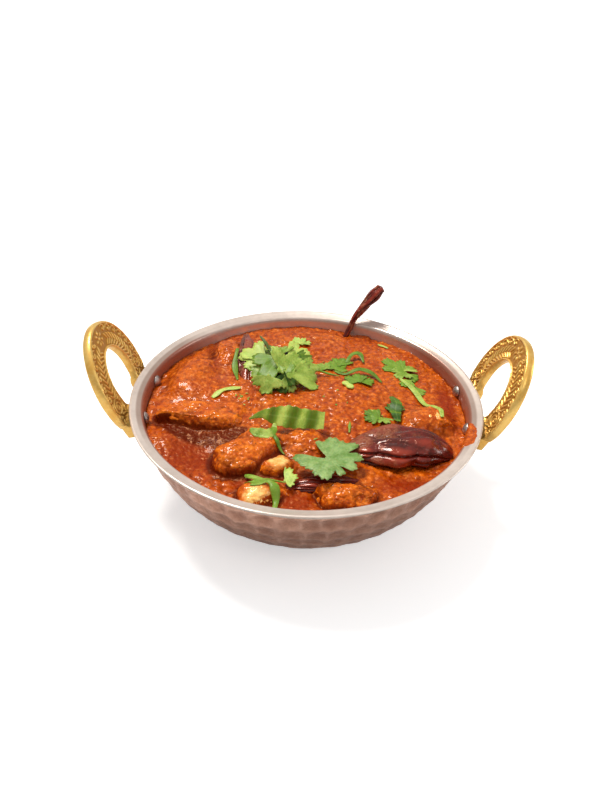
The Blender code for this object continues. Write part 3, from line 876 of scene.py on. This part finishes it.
def gravy_level(x, y):
    """Height of the gravy over the base: a low crown with swellings where pieces lie under it."""
    z = GRAVY_EDGE + GRAVY_CROWN * np.exp(-(np.hypot(x, y) / 56) ** 4)
    for (cx, cy), height, (sx, sy) in SWELLS:
        z = z + height * np.exp(-((x - cx) / sx) ** 2 - ((y - cy) / sy) ** 2)
    return RIM_Z + z


def patches(spots, x, y):
    """1 inside oval spots of the plan and 0 away from them: the highest of their bell shapes."""
    return np.max([np.exp(-((x - cx) / sx) ** 2 - ((y - cy) / sy) ** 2) for cx, cy, sx, sy in spots], axis=0)


def crease_depth(x, y):
    """How far the sauce is drawn down along the creases: each a bell-shaped groove along a curve."""
    sunk = np.zeros_like(x)
    for points, depth, width in CREASES:
        line = smooth_line(points, 30)
        away = np.min([np.hypot(x - px, y - py) for px, py in line], axis=0)
        sunk = sunk + depth * np.exp(-(away / width) ** 2)
    return sunk


def chunk_rings(centre, half, turn, seed, shaded, smoother, rows=130, cols=220):
    """A torn block with grainy skin: a rounded, lumpy box, pared by slanting planes, then finer noise.

    Also returns the painted shade of each point: how deep it lies in the torn skin's hollows, and how far it
    lies on the face that is turned down to the front on the shaded pieces, away from the light.
    """
    p, a = np.meshgrid(np.linspace(0, pi, rows + 2)[1:-1], np.arange(cols) * 2 * pi / cols, indexing="ij")
    d = np.stack([np.sin(p) * np.cos(a), np.sin(p) * np.sin(a), np.cos(p)], axis=-1)
    blunt = (np.abs(d) ** 2.8).sum(axis=-1) ** (-1 / 2.8)
    lumps = 1 + 0.07 * np.sin(3.1 * d[..., 0] + 2.2 * seed) * np.cos(2.7 * d[..., 1] + seed)
    lumps = lumps + 0.05 * np.sin(4.3 * d[..., 1] + 3.3 * d[..., 2] + 1.7 * seed)
    shape = d * (blunt * lumps)[..., None] * np.array(half) * 1.05
    rng = np.random.default_rng(100 + seed)
    for _ in range(7):
        normal = unit(rng.normal(0, 1, 3) / np.array(half))
        past = shape @ normal
        limit = rng.uniform(0.74, 0.88) * past.max()
        beyond = past - limit
        shape = shape - normal * (0.86 * (beyond + np.sqrt(beyond ** 2 + 0.12)) / 2)[..., None]
    angle = radians(turn)
    spin = np.array([[cos(angle), sin(angle), 0], [-sin(angle), cos(angle), 0], [0, 0, 1]])
    shape = shape @ spin + np.array(centre) + np.array([0, 0, RIM_Z])
    way = unit((d / np.array(half)) @ spin)
    torn = 1.0 * waves(shape, 8.0, seed) + 0.34 * cobbles(shape, 3.8, seed + 50)
    torn = torn + 0.26 * cobbles(shape, 1.9, seed + 90) + 0.16 * waves(shape, 0.9, seed + 120)
    torn = torn * (0.5 if smoother else 1.0)
    # painted shade: darker on the faces turned down to the front, away from the light
    dark = 0.95 * shaded * ease(way @ np.array([0.2, -0.85, -0.45]), 0.4, 0.9)
    return shape + way * torn[..., None], np.maximum(ease(-torn, 0.1, 1.1), dark)


def make_chunks(tops, sunk_tops):
    """The coated pieces of chicken; some have a spot where the sauce has run off the meat."""
    for name, facts in CHUNKS.items():
        rings, hollow_shade = chunk_rings(*facts, name in SHADED, name in SMOOTHER)
        stamp(sunk_tops if name in SUNK else tops, rings)
        bare = np.zeros(rings.shape[:2])
        if name in BARE_SPOTS:
            at, reach = BARE_SPOTS[name]
            away = np.linalg.norm(rings - np.array(at), axis=-1) + 1.2 * layers(rings, 3.0, 7)
            bare = 1 - ease(away, 0.55 * reach, 1.05 * reach)
        body = closed(rings, [bare, hollow_shade])
        piece("coated_" + name, [body], CHICKEN_SKIN, [name], ["bare", "hollow_shade"])


def chilli_rings(name, points, widths, heights, steps=260, sides=150):
    """A dried pod: an oval carried along its middle, shrunk into lengthwise folds and cross puckers.

    Also returns its poles, how near each point is to a fold's crest, and where sauce sticks to it.
    """
    middle = smooth_line(points, steps) + np.array([0, 0, RIM_Z])
    sizes = smooth_line(np.c_[widths, heights], steps)
    long = np.linalg.norm(np.diff(middle, axis=0), axis=1).sum()
    seed = len(name)

    def shrunk(around, along):
        """How far the skin stands out, from the middle of the pod."""
        place = spread(2.6 * np.cos(around), 2.6 * np.sin(around), along * long / 9.0)
        folds = np.abs(waves(place * np.array([1, 1, 1.6]), 2.1, seed)) ** 0.7
        puckers = waves(spread(3 * np.cos(around), 3 * np.sin(around), along * long / 2.6), 1.3, seed + 5)
        sharp = np.abs(np.sin(2.5 * around + 3.2 * along + 1.3 * waves(place, 2.6, seed + 9)))
        flat = 1.06 - 0.34 * (0.5 - folds) * np.sin(pi * along) ** 0.3
        return flat + 0.05 * puckers - 0.24 * (1 - sharp) ** 3

    rings, first, last = carried(middle, sizes[:, 0], sizes[:, 1], sides, shrunk)
    around = np.arange(sides) * 2 * pi / sides
    along = np.linspace(0, 1, steps)[:, None]
    crests = ease(shrunk(around[None], along), 0.98, 1.12)
    low_half = ease(0.44 - along + 0.25 * layers(rings, 5.0, 33), -0.1, 0.15)
    dabs = ease(layers(rings, 3.4, 91), 0.1, 0.5)
    stuck = {"chilli_large": 0.85 * low_half, "chilli_tall": 0.85 * dabs, "chilli_small": 0.35 * dabs,
             "chilli_back_left": 0.3 + 0.6 * dabs}
    return rings, first, last, crests, stuck[name]


def make_chillies(tops):
    """The dried chillies, with the folds' crests marked for their redder, thinner skin."""
    for name, facts in CHILLIES.items():
        rings, first, last, crests, sauced = chilli_rings(name, *facts)
        stamp(tops, rings)
        body = skin(rings, first, last, marks=[crests, sauced])
        piece("dried_" + name, [body], CHILLI_SKIN, [name], ["fold", "sauced"])


def border(grid):
    """The outermost entries of a square grid, once round, anticlockwise from above."""
    return np.concatenate([grid[:, 0], grid[-1, 1:], grid[-2::-1, -1], grid[0, -2:0:-1]])


def make_gravy(chunk_tops, sunk_tops, chilli_tops):
    """The sauce: a fine surface that climbs a little at the wall and round every piece, closed underneath.

    A square grid is pressed into a disc, x = u sqrt(1 - v v / 2) and the same for y. Its height is the
    level, with lumps from three sizes of noise that fade on smooth pools, rounded into the pieces' tops.
    """
    side = 300
    u, v = np.meshgrid(np.linspace(-1, 1, side), np.linspace(-1, 1, side), indexing="ij")
    x = u * np.sqrt(1 - v * v / 2)
    y = v * np.sqrt(1 - u * u / 2)
    reach = wall_radius(gravy_level(74 * x, 74 * y), INSIDE) + 0.05
    x, y = x * reach, y * reach
    z = gravy_level(x, y)
    place = np.stack([x, y, z], axis=-1)
    pool_and_shade, calm = patches(POOLS, x, y), patches(MOUNDS, x, y)
    sunk = crease_depth(x, y)
    lively = 1 - np.maximum(0.7 * ease(pool_and_shade, 0.3, 0.9), 0.85 * ease(calm, 0.25, 0.8))
    z = z + 0.7 * waves(place, 12.0, 2) + 0.55 * lively * waves(place, 6.0, 12) - sunk
    gap = reach - np.hypot(x, y)
    rough = 0.42 * cobbles(place, 4.6, 21) + 0.36 * cobbles(place, 2.4, 31) + 0.18 * waves(place, 1.3, 41)
    rough = lively * rough
    z = z + 0.9 * np.exp(-np.abs(gap) / 0.9) * (0.7 + 0.6 * waves(place, 4.0, 61))
    level = gravy_level(*np.meshgrid(*[np.linspace(-MAP_HALF, MAP_HALF, MAP_SIDE)] * 2, indexing="ij"))
    draped = blurred(np.maximum(level, sunk_tops), 2.6)
    z = z + rough
    z = soft_max(z, read(draped, x, y) + 0.45 + 0.8 * rough, 1.2)
    banked = blurred(np.maximum(level, chunk_tops), 1.5)
    z = soft_max(z, read(banked, x, y) - 1.1, 0.5)
    z = np.maximum(z, read(chunk_tops, x, y) - 0.7)
    wetted = blurred(np.maximum(level, np.minimum(chilli_tops, level + 2.5)), 0.9)
    under_chilli = ease(read(chilli_tops, x, y) - z, 0.3, 1.0)
    z = np.where(under_chilli > 0, z - 1.0 * under_chilli, soft_max(z, read(wetted, x, y) - 0.3, 0.3))
    top = np.stack([x, y, z], axis=-1)
    ground = blank_map()
    stamp(ground, top)
    # painted shade: the hollow mark, from troughs and creases, darkens the colour there
    trough = read(blurred(np.maximum(ground, level - 3), 1.6), x, y) - z
    hollow_shade = np.maximum(ease(trough, 0.05, 0.8), ease(sunk, 1.8, 5.0))

    rim = border(top)
    base = INSIDE + 0.3
    skirt = []
    for share in (0.55, 0.12):
        height = base + (rim[:, 2] - base) * share
        ring = rim * (wall_radius(height, INSIDE) / np.hypot(rim[:, 0], rim[:, 1]))[:, None]
        ring[:, 2] = height
        skirt.append(ring)
    count = len(rim)
    loops = [border(np.arange(side * side).reshape(side, side))]
    loops += [side * side + n * count + np.arange(count) for n in (0, 1)]
    quads = [grid_quads(side, side, wrap_cols=False)[:, ::-1]]
    for low, high in zip(loops[1:], loops[:-1]):
        quads.append(np.stack([low, np.roll(low, -1), np.roll(high, -1), high], axis=-1))
    points = np.concatenate([top.reshape(-1, 3), *skirt, [[0, 0, base]]])
    pole = len(points) - 1
    tris = np.stack([np.full(count, pole), np.roll(loops[-1], -1), loops[-1]], axis=-1)
    rest = np.zeros(len(points) - side * side)
    # the pool mark darkens the smooth pools in the finish, as painted shade
    marks = [np.r_[mark.ravel(), rest] for mark in (hollow_shade, ease(pool_and_shade, 0.15, 0.9))]
    body = (points, np.concatenate(quads), tris, marks)
    piece("masala", [body], GRAVY_SKIN, ["gravy"], ["hollow_shade", "pool_and_shade"])
    return ground


# ==== herbs ======================================================================================

LOBES_THREE = ((0, 0.66, 60), (0, 1.0, 25), (-42, 0.84, 22), (42, 0.84, 22))
LOBES_WIDE = ((0, 0.66, 86), (0, 1.0, 30), (-58, 0.88, 28), (58, 0.88, 28))
LOBES_FAN = ((0, 0.92, 44), (0, 1.0, 20), (-30, 0.94, 16), (30, 0.94, 16))
LOBES_NARROW = ((0, 0.7, 34), (0, 1.0, 15), (-26, 0.78, 14), (26, 0.78, 14))
LOBES_PRONGS = ((0, 0.7, 40), (0, 1.0, 9), (25, 1.25, 8), (-22, 0.8, 9))
LOBES_BROAD = ((0, 0.8, 75), (0, 1.0, 26), (-62, 1.2, 26), (62, 0.95, 24))
LOBES_BIG = ((15, 0.72, 50), (85, 0.62, 50), (-175, 0.58, 44), (-125, 0.52, 40), (0, 1.0, 17),
             (-24, 0.78, 15), (18, 0.94, 13), (38, 1.05, 14), (72, 0.84, 19), (108, 0.74, 17),
             (143, 0.74, 13), (180, 0.86, 17), (199, 0.78, 14), (-136, 0.68, 19), (-117, 0.74, 13),
             (-98, 0.84, 15))
TOOTH = 2.4
AT_RIM = np.array([0, 0, RIM_Z])

# Leaves of the heap from the bottom up: base and tip over the rim, shade (painted light and shade: low for
# the leaves beneath, high for the lit ones on top), lobes, the way each faces, fold.
HEAP = (
    ((-16, 20, 1), (-26, 21, 0), 0.08, LOBES_WIDE, (-0.3, -0.3), 0.0),
    ((-12, 17, 1), (-2, 15, -0.5), 0.1, LOBES_WIDE, (0.2, -0.4), 0.0),
    ((-14, 16, 1), (-14, 5, -2), 0.02, LOBES_WIDE, (0.0, -0.6), 0.0),
    ((-12, 25, 1.5), (-2, 29, 0.5), 0.12, LOBES_THREE, (0.1, -0.3), 0.0),
    ((-18, 28, 2), (-26, 33, 1), 0.3, LOBES_THREE, (-0.2, -0.3), 0.1),
    ((-21, 25.3, 3), (-34.4, 32.2, 2), 0.95, LOBES_THREE, (-0.1, -0.5), 0.05),
    ((-21.5, 25.3, 3.2), (-26.5, 40, 3), 0.92, LOBES_THREE, (0.0, -0.4), 0.0),
    ((-21, 26, 3.4), (-24.5, 20, 0.8), 0.88, LOBES_NARROW, (-0.1, -0.9), 0.0),
    ((-17.6, 26, 4.4), (-19.2, 40, 4), 0.1, LOBES_THREE, (0.7, -0.2), 0.35),
    ((-13.7, 28, 4), (-13.3, 39, 3), 0.6, LOBES_THREE, (-0.3, -0.5), 0.1),
    ((-9.8, 27.5, 3.6), (2.2, 35.0, 3), 0.92, LOBES_THREE, (0.1, -0.4), 0.0),
    ((-8, 24.5, 4.6), (2.5, 28, 3.2), 0.22, LOBES_NARROW, (0.2, -0.6), 0.1),
    ((-6, 20, 3.4), (7.5, 22.5, 1), 0.7, LOBES_NARROW, (0.2, -0.5), 0.0),
    ((-14.3, 22.4, 6), (-21, 9.0, 3), 0.42, LOBES_WIDE, (-0.35, -0.8), 0.0),
    ((-19.9, 17.4, 3), (-28, 13, 0.8), 0.66, LOBES_FAN, (-0.3, -0.5), 0.0),
    ((-13.1, 12.5, 5), (-3.5, 23.5, 6.4), 0.72, LOBES_WIDE, (0.1, -0.9), 0.1),
    ((-8.4, 9.5, 4), (6.2, 16.6, 1.0), 0.74, LOBES_FAN, (0.25, -0.5), 0.0),
    ((-18.4, 9.5, 3.4), (-20, 2.2, -3), 0.74, LOBES_WIDE, (-0.15, -1.3), 0.0),
    ((-11.5, 11.5, 3.8), (-11.5, 3.0, -3), 0.06, LOBES_THREE, (-0.4, -1.2), 0.1),
    ((-10.5, 10.5, 3.4), (-6.2, 4.6, -2), 0.7, LOBES_THREE, (0.5, -1.0), 0.0),
    ((-14, 14, 6.6), (-11.5, 9.0, 5.8), 0.62, LOBES_NARROW, (0.3, -0.8), 0.2),
    ((-17, 19, 3.6), (-12, 28, 4.2), 0.4, LOBES_WIDE, (0.0, -0.3), 0.0),
)

# Single leaves: base and tip on the plan, shade, lobes, height over what lies there.
SINGLE = (
    # behind and beside the heap
    ((-3, 50), (-7, 56), 0.88, LOBES_THREE, 0.8), ((-4, 50), (2, 54), 0.8, LOBES_NARROW, 0.8),
    ((11, 27), (5, 32), 0.6, LOBES_THREE, 0.8), ((12, 27), (20, 33), 0.5, LOBES_THREE, 1.0),
    ((16, 30), (19, 40), 0.38, LOBES_FAN, 1.0), ((26, 15), (18, 20), 0.4, LOBES_THREE, 0.8),
    ((26, 15), (33, 19), 0.45, LOBES_THREE, 0.9), ((27, 16), (27, 24), 0.3, LOBES_NARROW, 0.9),
    # the sprig at the right
    ((49, 32), (40, 41), 0.5, LOBES_THREE, 0.8), ((50, 32), (55, 38), 0.68, LOBES_THREE, 1.2),
    ((50, 31), (45, 25), 0.62, LOBES_WIDE, 0.9), ((51, 29), (57, 26), 0.42, LOBES_FAN, 0.8),
    ((52, 24), (47, 18), 0.6, LOBES_THREE, 0.8), ((54, 18), (58, 12), 0.6, LOBES_NARROW, 0.8),
    # the dark leaf and the cluster before it
    ((41, -8), (39, 0), 0.14, LOBES_NARROW, 1.2), ((42, -6), (46, 0), 0.3, LOBES_NARROW, 1.0),
    ((34, -13), (27, -8), 0.30, LOBES_THREE, 1.0), ((34, -13), (37, -21), 0.62, LOBES_NARROW, 1.2),
    ((33, -14), (28, -15), 0.45, LOBES_THREE, 1.0), ((34, -13), (39, -15), 0.5, LOBES_NARROW, 1.0),
    # the yellow-green one at the front, and the pronged one left of it
    ((-8.2, -56.5), (-2.4, -55.2), 0.84, LOBES_BROAD, 2.4),
    ((-15, -60.5), (-24.8, -58.5), 0.6, LOBES_PRONGS, 1.6),
)

# Stalks and shreds: points (x, y, height over what lies there), width, shade, thickness.
STALKS = (
    (((-45, 1, 0), (-40, 6, 0.3), (-32, 8, 0)), 3.0, 0.9, 0.6),
    (((-36, 38, 1), (-36.5, 27, 0.6), (-34, 14, 0.2)), 2.6, 0.35, 0.6),
    (((20, 35, 0.4), (23, 41, 2.4), (27, 42, 2.6), (29, 36, 0.6)), 2.8, 0.3, 0.7),
    (((14, 26, 0.1), (19, 22, 0.3), (26, 25, 2.4), (32, 23, 1.8), (37, 18, 0.2)), 2.8, 0.28, 0.7),
    (((18, 14, 0.3), (22, 8, 0.3)), 3.6, 1.0, 1.8),
    (((47, 24, 0.4), (53, 15, 0.4), (57, 3, 0.4), (62, -4, 0.3), (62.5, -13, 0.2)), 2.8, 0.8, 0.9),
    (((-14, -28, 2.2), (-13.4, -34, 0.8), (-9, -41, 0.3)), 1.6, 0.3, 0.9),
    (((-15.5, -60, 1.2), (-12.6, -62.5, 1.4), (-11.4, -67, 1.2), (-12, -73, 1.0)), 3.4, 0.55, 1.4),
    (((-18, -58, 1.2), (-14, -57, 0.8), (-8, -57.5, 1.6)), 1.2, 0.6, 0.9),
    (((38, 59, 0.2), (41, 56, 0.2), (43, 54, 0.2)), 1.6, 0.8, 0.6),
    (((20, -17, 0.3), (19.5, -24, 0.3)), 1.2, 0.6, 0.5),
    (((4, 22, 3.0), (10, 21, 1.0), (16, 19, 0.4)), 1.2, 0.5, 0.9),
)

# Long blades: points (x, y, height over the rim), widths, shade, pleats, their depth, the way each faces.
BLADES = (
    (((-25.6, -21.5, 0.5), (-20, -19.5, 1.8), (-14.5, -21.2, 2.8), (-8, -22.6, 3.2), (-1, -23.6, 3.2),
      (8, -24, 2.8)), (0.6, 3.6, 7.6, 10.0, 8.8, 8.0), 0.6, 4, 1.3, (0, -0.75, 0.66)),
    (((-24.6, -29, 0.6), (-21, -32, 0.9), (-17, -33, 1.2), (-14.4, -31, 1.8), (-14, -26.5, 2.2)),
     (1.6, 5.0, 4.6, 3.6, 1.2), 0.66, 2, 0.5, (0, -0.6, 0.8)),
    (((40.5, 5, -3.0), (42.5, -1, -2.2), (41.5, -8, -2.2), (42.5, -15, -3.0)),
     (2.0, 5.0, 5.5, 2.0), 0.12, 3, 0.5, (0, 0, 1)),
)

# Crumbs: centre, spread and count of each strewn patch.
CRUMBS = (((8, 31), 6, 20), ((-30, 0), 5, 9), ((30, 22), 6, 10), ((44, 30), 5, 6), ((34, -10), 5, 6),
          ((-2, 12), 8, 8), ((10, -8), 18, 6))


def over(ground, spot, lift):
    """The point that far above what lies at a spot of the plan."""
    x, y = np.array(spot, float)
    return np.array([x, y, read(ground, x, y) + lift])


def leaf(ground, base, tip, shade, lobes, facing=(0, 0), ruffle=0.5, fold=0.0, droop=0.1, cool=0.0, seed=0):
    """A lobed coriander blade as a thin closed skin, from base to tip, with its face turned to (facing, 1).

    Its outline, round the top of its stalk, is the longest of its lobes in each direction; each lobe is a
    blunt bump with rounded teeth. The blade is ruffled, folded along its midrib, droops towards its tip, and
    is kept just above what lies under it.
    """
    size = np.linalg.norm(tip - base)
    way = (tip - base) / size
    normal = np.array([*facing, 1.0])
    normal = unit(normal - (normal @ way) * way)
    ways, reaches = 168, 7
    around = np.arange(ways) * 2 * pi / ways
    theta = np.degrees((around + pi) % (2 * pi) - pi)
    edge = np.full(ways, 0.1)
    rib = np.zeros(ways)
    for centre, long, wide in lobes:
        off = (theta - centre + 180) % 360 - 180
        count = max(1, round(2 * radians(wide) * long * size / TOOTH))
        tooth = off / (2 * wide) * count + 0.5 * (count + 1)
        tooth = tooth - np.rint(tooth)
        notch = min(0.16, 1.2 / (long * size))
        lobe = np.clip(1 - np.abs(off / wide) ** 4, 0, 1) ** 0.5 * (1 - notch * np.abs(2 * tooth) ** 1.5)
        edge = np.maximum(edge, long * lobe * (1 + 0.06 * sin(3 * seed + centre)))
        rib = np.maximum(rib, (wide < 50) * np.exp(-(off / 3.0) ** 2))
    share = np.linspace(0.08, 1, reaches)[:, None]
    x = size * share * edge * np.sin(around)
    y = size * share * edge * np.cos(around)
    place = spread(x, y, 7.3 * seed)
    z = ruffle * (waves(place, 5.0, seed) + 0.4 * waves(place, 2.2, seed + 3))
    z = z - 0.05 * rib * np.clip(share * 1.5, 0, 1) + fold * np.abs(x) - droop * y * np.abs(y) / size
    thick = 0.12 + 0.05 * (1 - share) * np.ones(ways)
    level = np.concatenate([z + thick, (z - thick)[::-1]])
    x, y = np.concatenate([x, x[::-1]]), np.concatenate([y, y[::-1]])
    blade = base + x[..., None] * np.cross(way, normal) + y[..., None] * way + level[..., None] * normal
    under = read(ground, blade[..., 0], blade[..., 1])
    sunk = np.clip(under + 0.25 - blade[..., 2], 0, None)
    blade[..., 2] += sunk + np.where(sunk > 0, np.r_[np.full(reaches, 0.2), np.zeros(reaches)][:, None], 0)
    ones = np.ones((2 * reaches, ways))
    veins = np.concatenate([rib * share ** 0.3, (rib * share ** 0.3)[::-1]])
    return closed(blade, [ones * shade, veins, ones * cool])


def stalk(ground, points, width, shade, thick, lift=0.3):
    """A stem or a narrow strip of leaf: an oval carried along points (x, y, height over what lies there)."""
    steps = 12 * len(points)
    line = smooth_line(points, steps)
    base = read(ground, line[:, 0], line[:, 1])
    soft = np.convolve(np.pad(base, 4, mode="edge"), np.ones(9) / 9, mode="valid")
    line[:, 2] += np.maximum(soft, base) + lift
    along = np.linspace(0, 1, steps)
    taper = (0.25 + 0.75 * np.sin(pi * np.clip(along * 0.9 + 0.07, 0, 1)) ** 0.6)
    widths = width / 2 * taper * (1 + 0.22 * np.sin(9 * along + 7 * shade))
    rings, first, last = carried(line, widths, thick / 2 * taper, 20)
    marks = [np.full(rings.shape[:2], mark) for mark in (shade, 0.15, 0.0)]
    return skin(rings, first, last, marks=marks)


def strip(ground, points, widths, shade, pleats, depth, lean):
    """A long blade along points (x, y, height over the rim), as wide as widths, waved in pleats.

    The pleats rise along lean, the way that the blade faces; their crests are painted paler and their valleys
    darker, as painted light and shade.
    """
    steps = 150
    line = smooth_line(points, steps) + AT_RIM
    wide = smooth_line(np.array(widths, float)[:, None], steps)[:, 0]
    along = np.linspace(0, 1, steps)
    margin = 1 + 0.05 * np.sin(2 * pi * 9 * along) * (along > 0.2)
    rings, first, last = carried(line, wide / 2 * margin, np.full(steps, 0.16), 40, lean=lean)
    across = np.cos(np.arange(40) * 2 * pi / 40)[None, :]
    turn = 2 * pi * pleats * along[:, None] + 0.5 * across + 0.9 * np.sin(7 * along)[:, None]
    grown = ease(along, 0.2, 0.4)[:, None]
    rings = rings + (depth * grown * np.sin(turn))[..., None] * unit(np.array(lean, float))
    rings[..., 2] = np.maximum(rings[..., 2], read(ground, rings[..., 0], rings[..., 1]) + 0.15)
    ribs = np.exp(-(across / 0.06) ** 2) * np.ones((steps, 1))
    # painted light and shade: paler on the pleats' crests, darker in their valleys
    tone = shade + 0.22 * grown * np.cos(turn)
    return skin(rings, first, last, marks=[tone, ribs, np.zeros(rings.shape[:2])])


def herb(name, skins):
    """A piece of coriander made of several skins."""
    piece(name, skins, LEAF_SKIN, mark_names=["shade", "vein", "cool"])


def make_coriander(ground):
    """The heap, the single leaves with the big cool-green one, and the stalks and long blades."""
    herb("coriander_heap", [
        leaf(ground, AT_RIM + base, AT_RIM + tip, shade, lobes, facing, fold=fold, seed=n)
        for n, (base, tip, shade, lobes, facing, fold) in enumerate(HEAP)])
    skins = []
    for n, (base, tip, shade, lobes, lift) in enumerate(SINGLE, 30):
        base, tip = over(ground, base, lift), over(ground, tip, lift)
        skins.append(leaf(ground, base, tip, shade, lobes, ruffle=0.35, seed=n))
    base, tip = AT_RIM + (9.8, -47.6, 0.5), AT_RIM + (12.0, -30.4, -0.2)
    skins.append(leaf(ground, base, tip, 0.5, LOBES_BIG, (0.0, -0.12), 0.7, droop=0.04, cool=1.0, seed=4))
    herb("coriander_leaves", skins)
    skins = [stalk(ground, *facts) for facts in STALKS]
    herb("coriander_stems", skins + [strip(ground, *facts) for facts in BLADES])


def make_crumbs(ground):
    """Chopped green bits, small squashed ovals strewn over the sauce."""
    rng = np.random.default_rng(11)
    skins = []
    for centre, reach, count in CRUMBS:
        for x, y in rng.normal(centre, reach * 0.5, (count, 2)):
            length, turn = rng.uniform(0.7, 2.2), rng.uniform(0, pi)
            half = np.array([cos(turn), sin(turn)]) * length / 2
            points = [(x - half[0], y - half[1], 0.1), (x + half[0], y + half[1], 0.15)]
            width, shade = rng.uniform(0.4, 1.1), rng.uniform(0.3, 0.95)
            skins.append(stalk(ground, points, width, shade, 0.3, lift=0.1))
    herb("chopped_herb", skins)


def turned_sector(line, turn, normal, raised=0.0):
    """Rings of a profile turned through part of a circle, raised along its normals."""
    r, z = (line[:, n:n + 1] + normal[:, n:n + 1] * raised for n in (0, 1))
    return spread(r * np.cos(turn), r * np.sin(turn), z)


def make_smear():
    """Sauce wiped over the inner wall and the lip at the right: a film with a ragged outline."""
    line = np.r_[wall_profile(INSIDE, RIM_Z - 3.7, 200)[-34:], flange_line(64)[:26]]
    turn = np.radians(np.linspace(-27, -11, 90))
    slope = unit(np.gradient(line, axis=0))
    normal = np.c_[-slope[:, 1], slope[:, 0]]
    along = np.linspace(-1, 1, len(line))[:, None]
    aside = np.linspace(-1, 1, len(turn))[None, :]
    ragged = 0.22 * layers(turned_sector(line, turn, normal), 6.0, 71)
    shape = 1 - (along * 1.02) ** 2 - (aside * (1.1 - 0.35 * along)) ** 2 + ragged
    under = np.full(shape.shape, -0.5)
    thick = np.where(shape > 0, 0.65 * np.clip(shape, 0, 1) ** 0.5, under)
    outer, inner = (turned_sector(line, turn, normal, raised) for raised in (thick, under))
    rings = np.concatenate([outer, inner[:, ::-1]], axis=1)
    body = closed(rings, [np.zeros(rings.shape[:2])] * 2)
    piece("rim_smear", [body], GRAVY_SKIN, mark_names=["hollow_shade", "pool_and_shade"])


# ==== stage ======================================================================================

FLOOR_GLOW = 0.5
SKY = (0.34, 0.85)
SUN_FROM = (-0.36, 0.40, 1.0)
SUN_POWER = 2.8
SUN_SPREAD = 16
SUN_COLOUR = (1.0, 0.97, 0.92)
LIGHTS = (
    ("back_softbox", (0.05, 0.80, 0.42), 0.3, 0.12),
    ("front_softbox", (0.40, -0.45, 0.60), 0.2, 0.4),
    ("side_softbox", (0.85, 0.10, 0.24), 0.3, 1.3),
)
CAMERA_ELEVATION = radians(35.24)
CAMERA_ROLL = radians(2.02)
CAMERA_AIM = Vector((-3.1, -4.8, RIM_Z)) * MM
CAMERA_DISTANCE = 350.6 * MM
CAMERA_LENS = 33.76


def placed(name, data, matrix=Matrix()):
    """An object of the stage, put into the scene."""
    made = bpy.data.objects.new(name, data)
    made.matrix_world = matrix
    bpy.context.scene.collection.objects.link(made)
    return made


def make_floor():
    """A plain pale disc; it glows a little to the camera only, so that it stays plain white."""
    sides = 64
    rings = turned([(20, 0), (300, 0), (9000, 0)], sides)
    mesh = bpy.data.meshes.new("floor")
    points = np.concatenate([[[0, 0, 0]], rings.reshape(-1, 3)]) * MM
    quads = (grid_quads(3, sides) + 1).tolist()
    fan = [(0, 1 + i, 1 + (i + 1) % sides) for i in range(sides)]
    mesh.from_pydata(points.tolist(), [], quads + fan)
    mesh.update()
    white, tree, shader = finish("pale_floor", Roughness=0.9, Specular_IOR_Level=0.1,
                                 Base_Color=(0.8, 0.8, 0.8, 1), Emission_Color=(1, 1, 1, 1))
    seen = node(tree, "LightPath").outputs["Is Camera Ray"]
    feed(shader, "Emission Strength", times(tree, seen, FLOOR_GLOW))
    mesh.materials.append(white)
    placed("floor", mesh)


def make_light():
    """A sky that brightens upwards and is plain white to the camera, a soft sun and three softboxes."""
    world = bpy.data.worlds.new("studio")
    world.use_nodes = True
    tree = world.node_tree
    up = node(tree, "SeparateXYZ", {"Vector": node(tree, "TexCoord").outputs["Generated"]}).outputs[2]
    seen = node(tree, "LightPath").outputs["Is Camera Ray"]
    background = tree.nodes["Background"]
    feed(background, "Strength", most(tree, band(tree, up, 0.4, 1.0, *SKY), times(tree, seen, 1.1)))
    background.inputs["Color"].default_value = (1, 1, 1, 1)
    bpy.context.scene.world = world
    sun = bpy.data.lights.new("main_light", "SUN")
    sun.energy = SUN_POWER
    sun.color = SUN_COLOUR
    sun.angle = radians(SUN_SPREAD)
    placed("main_light", sun).rotation_euler = Vector(SUN_FROM).to_track_quat("Z", "Y").to_euler()
    for name, place, size, power in LIGHTS:
        light = bpy.data.lights.new(name, "AREA")
        light.shape = "DISK"
        light.size = size
        light.energy = power
        lamp = placed(name, light)
        lamp.location = place
        lamp.rotation_euler = (Vector((0, 0, 0.04)) - Vector(place)).to_track_quat("-Z", "Y").to_euler()
    bpy.context.scene.view_settings.view_transform = "Standard"


def make_camera():
    """The camera, looking down at the dish and rolled a little."""
    forward = Vector((0, cos(CAMERA_ELEVATION), -sin(CAMERA_ELEVATION)))
    right = Vector((1, 0, 0))
    up = right.cross(forward)
    tilted_right = right * cos(CAMERA_ROLL) + up * sin(CAMERA_ROLL)
    tilted_up = up * cos(CAMERA_ROLL) - right * sin(CAMERA_ROLL)
    turn = Matrix((tilted_right, tilted_up, -forward)).transposed().to_4x4()
    lens = bpy.data.cameras.new("camera")
    lens.lens = CAMERA_LENS
    lens.clip_start = 0.01
    place = Matrix.Translation(CAMERA_AIM - forward * CAMERA_DISTANCE)
    bpy.context.scene.camera = placed("camera", lens, place @ turn)


make_floor()
make_light()
make_camera()
make_bowl()
make_jacket()
make_handle("brass_handle_right", 1, "handle_right")
make_handle("brass_handle_left", -1, "handle_left")
make_rivets()
chunk_tops, sunk_tops, chilli_tops = blank_map(), blank_map(), blank_map()
make_chunks(chunk_tops, sunk_tops)
make_chillies(chilli_tops)
ground = make_gravy(chunk_tops, sunk_tops, chilli_tops)
ground = np.max([ground, chunk_tops, sunk_tops, chilli_tops], axis=0)
ground = np.maximum(blurred(ground, 1.0), ground - 0.3)
make_coriander(ground)
make_crumbs(ground)
make_smear()
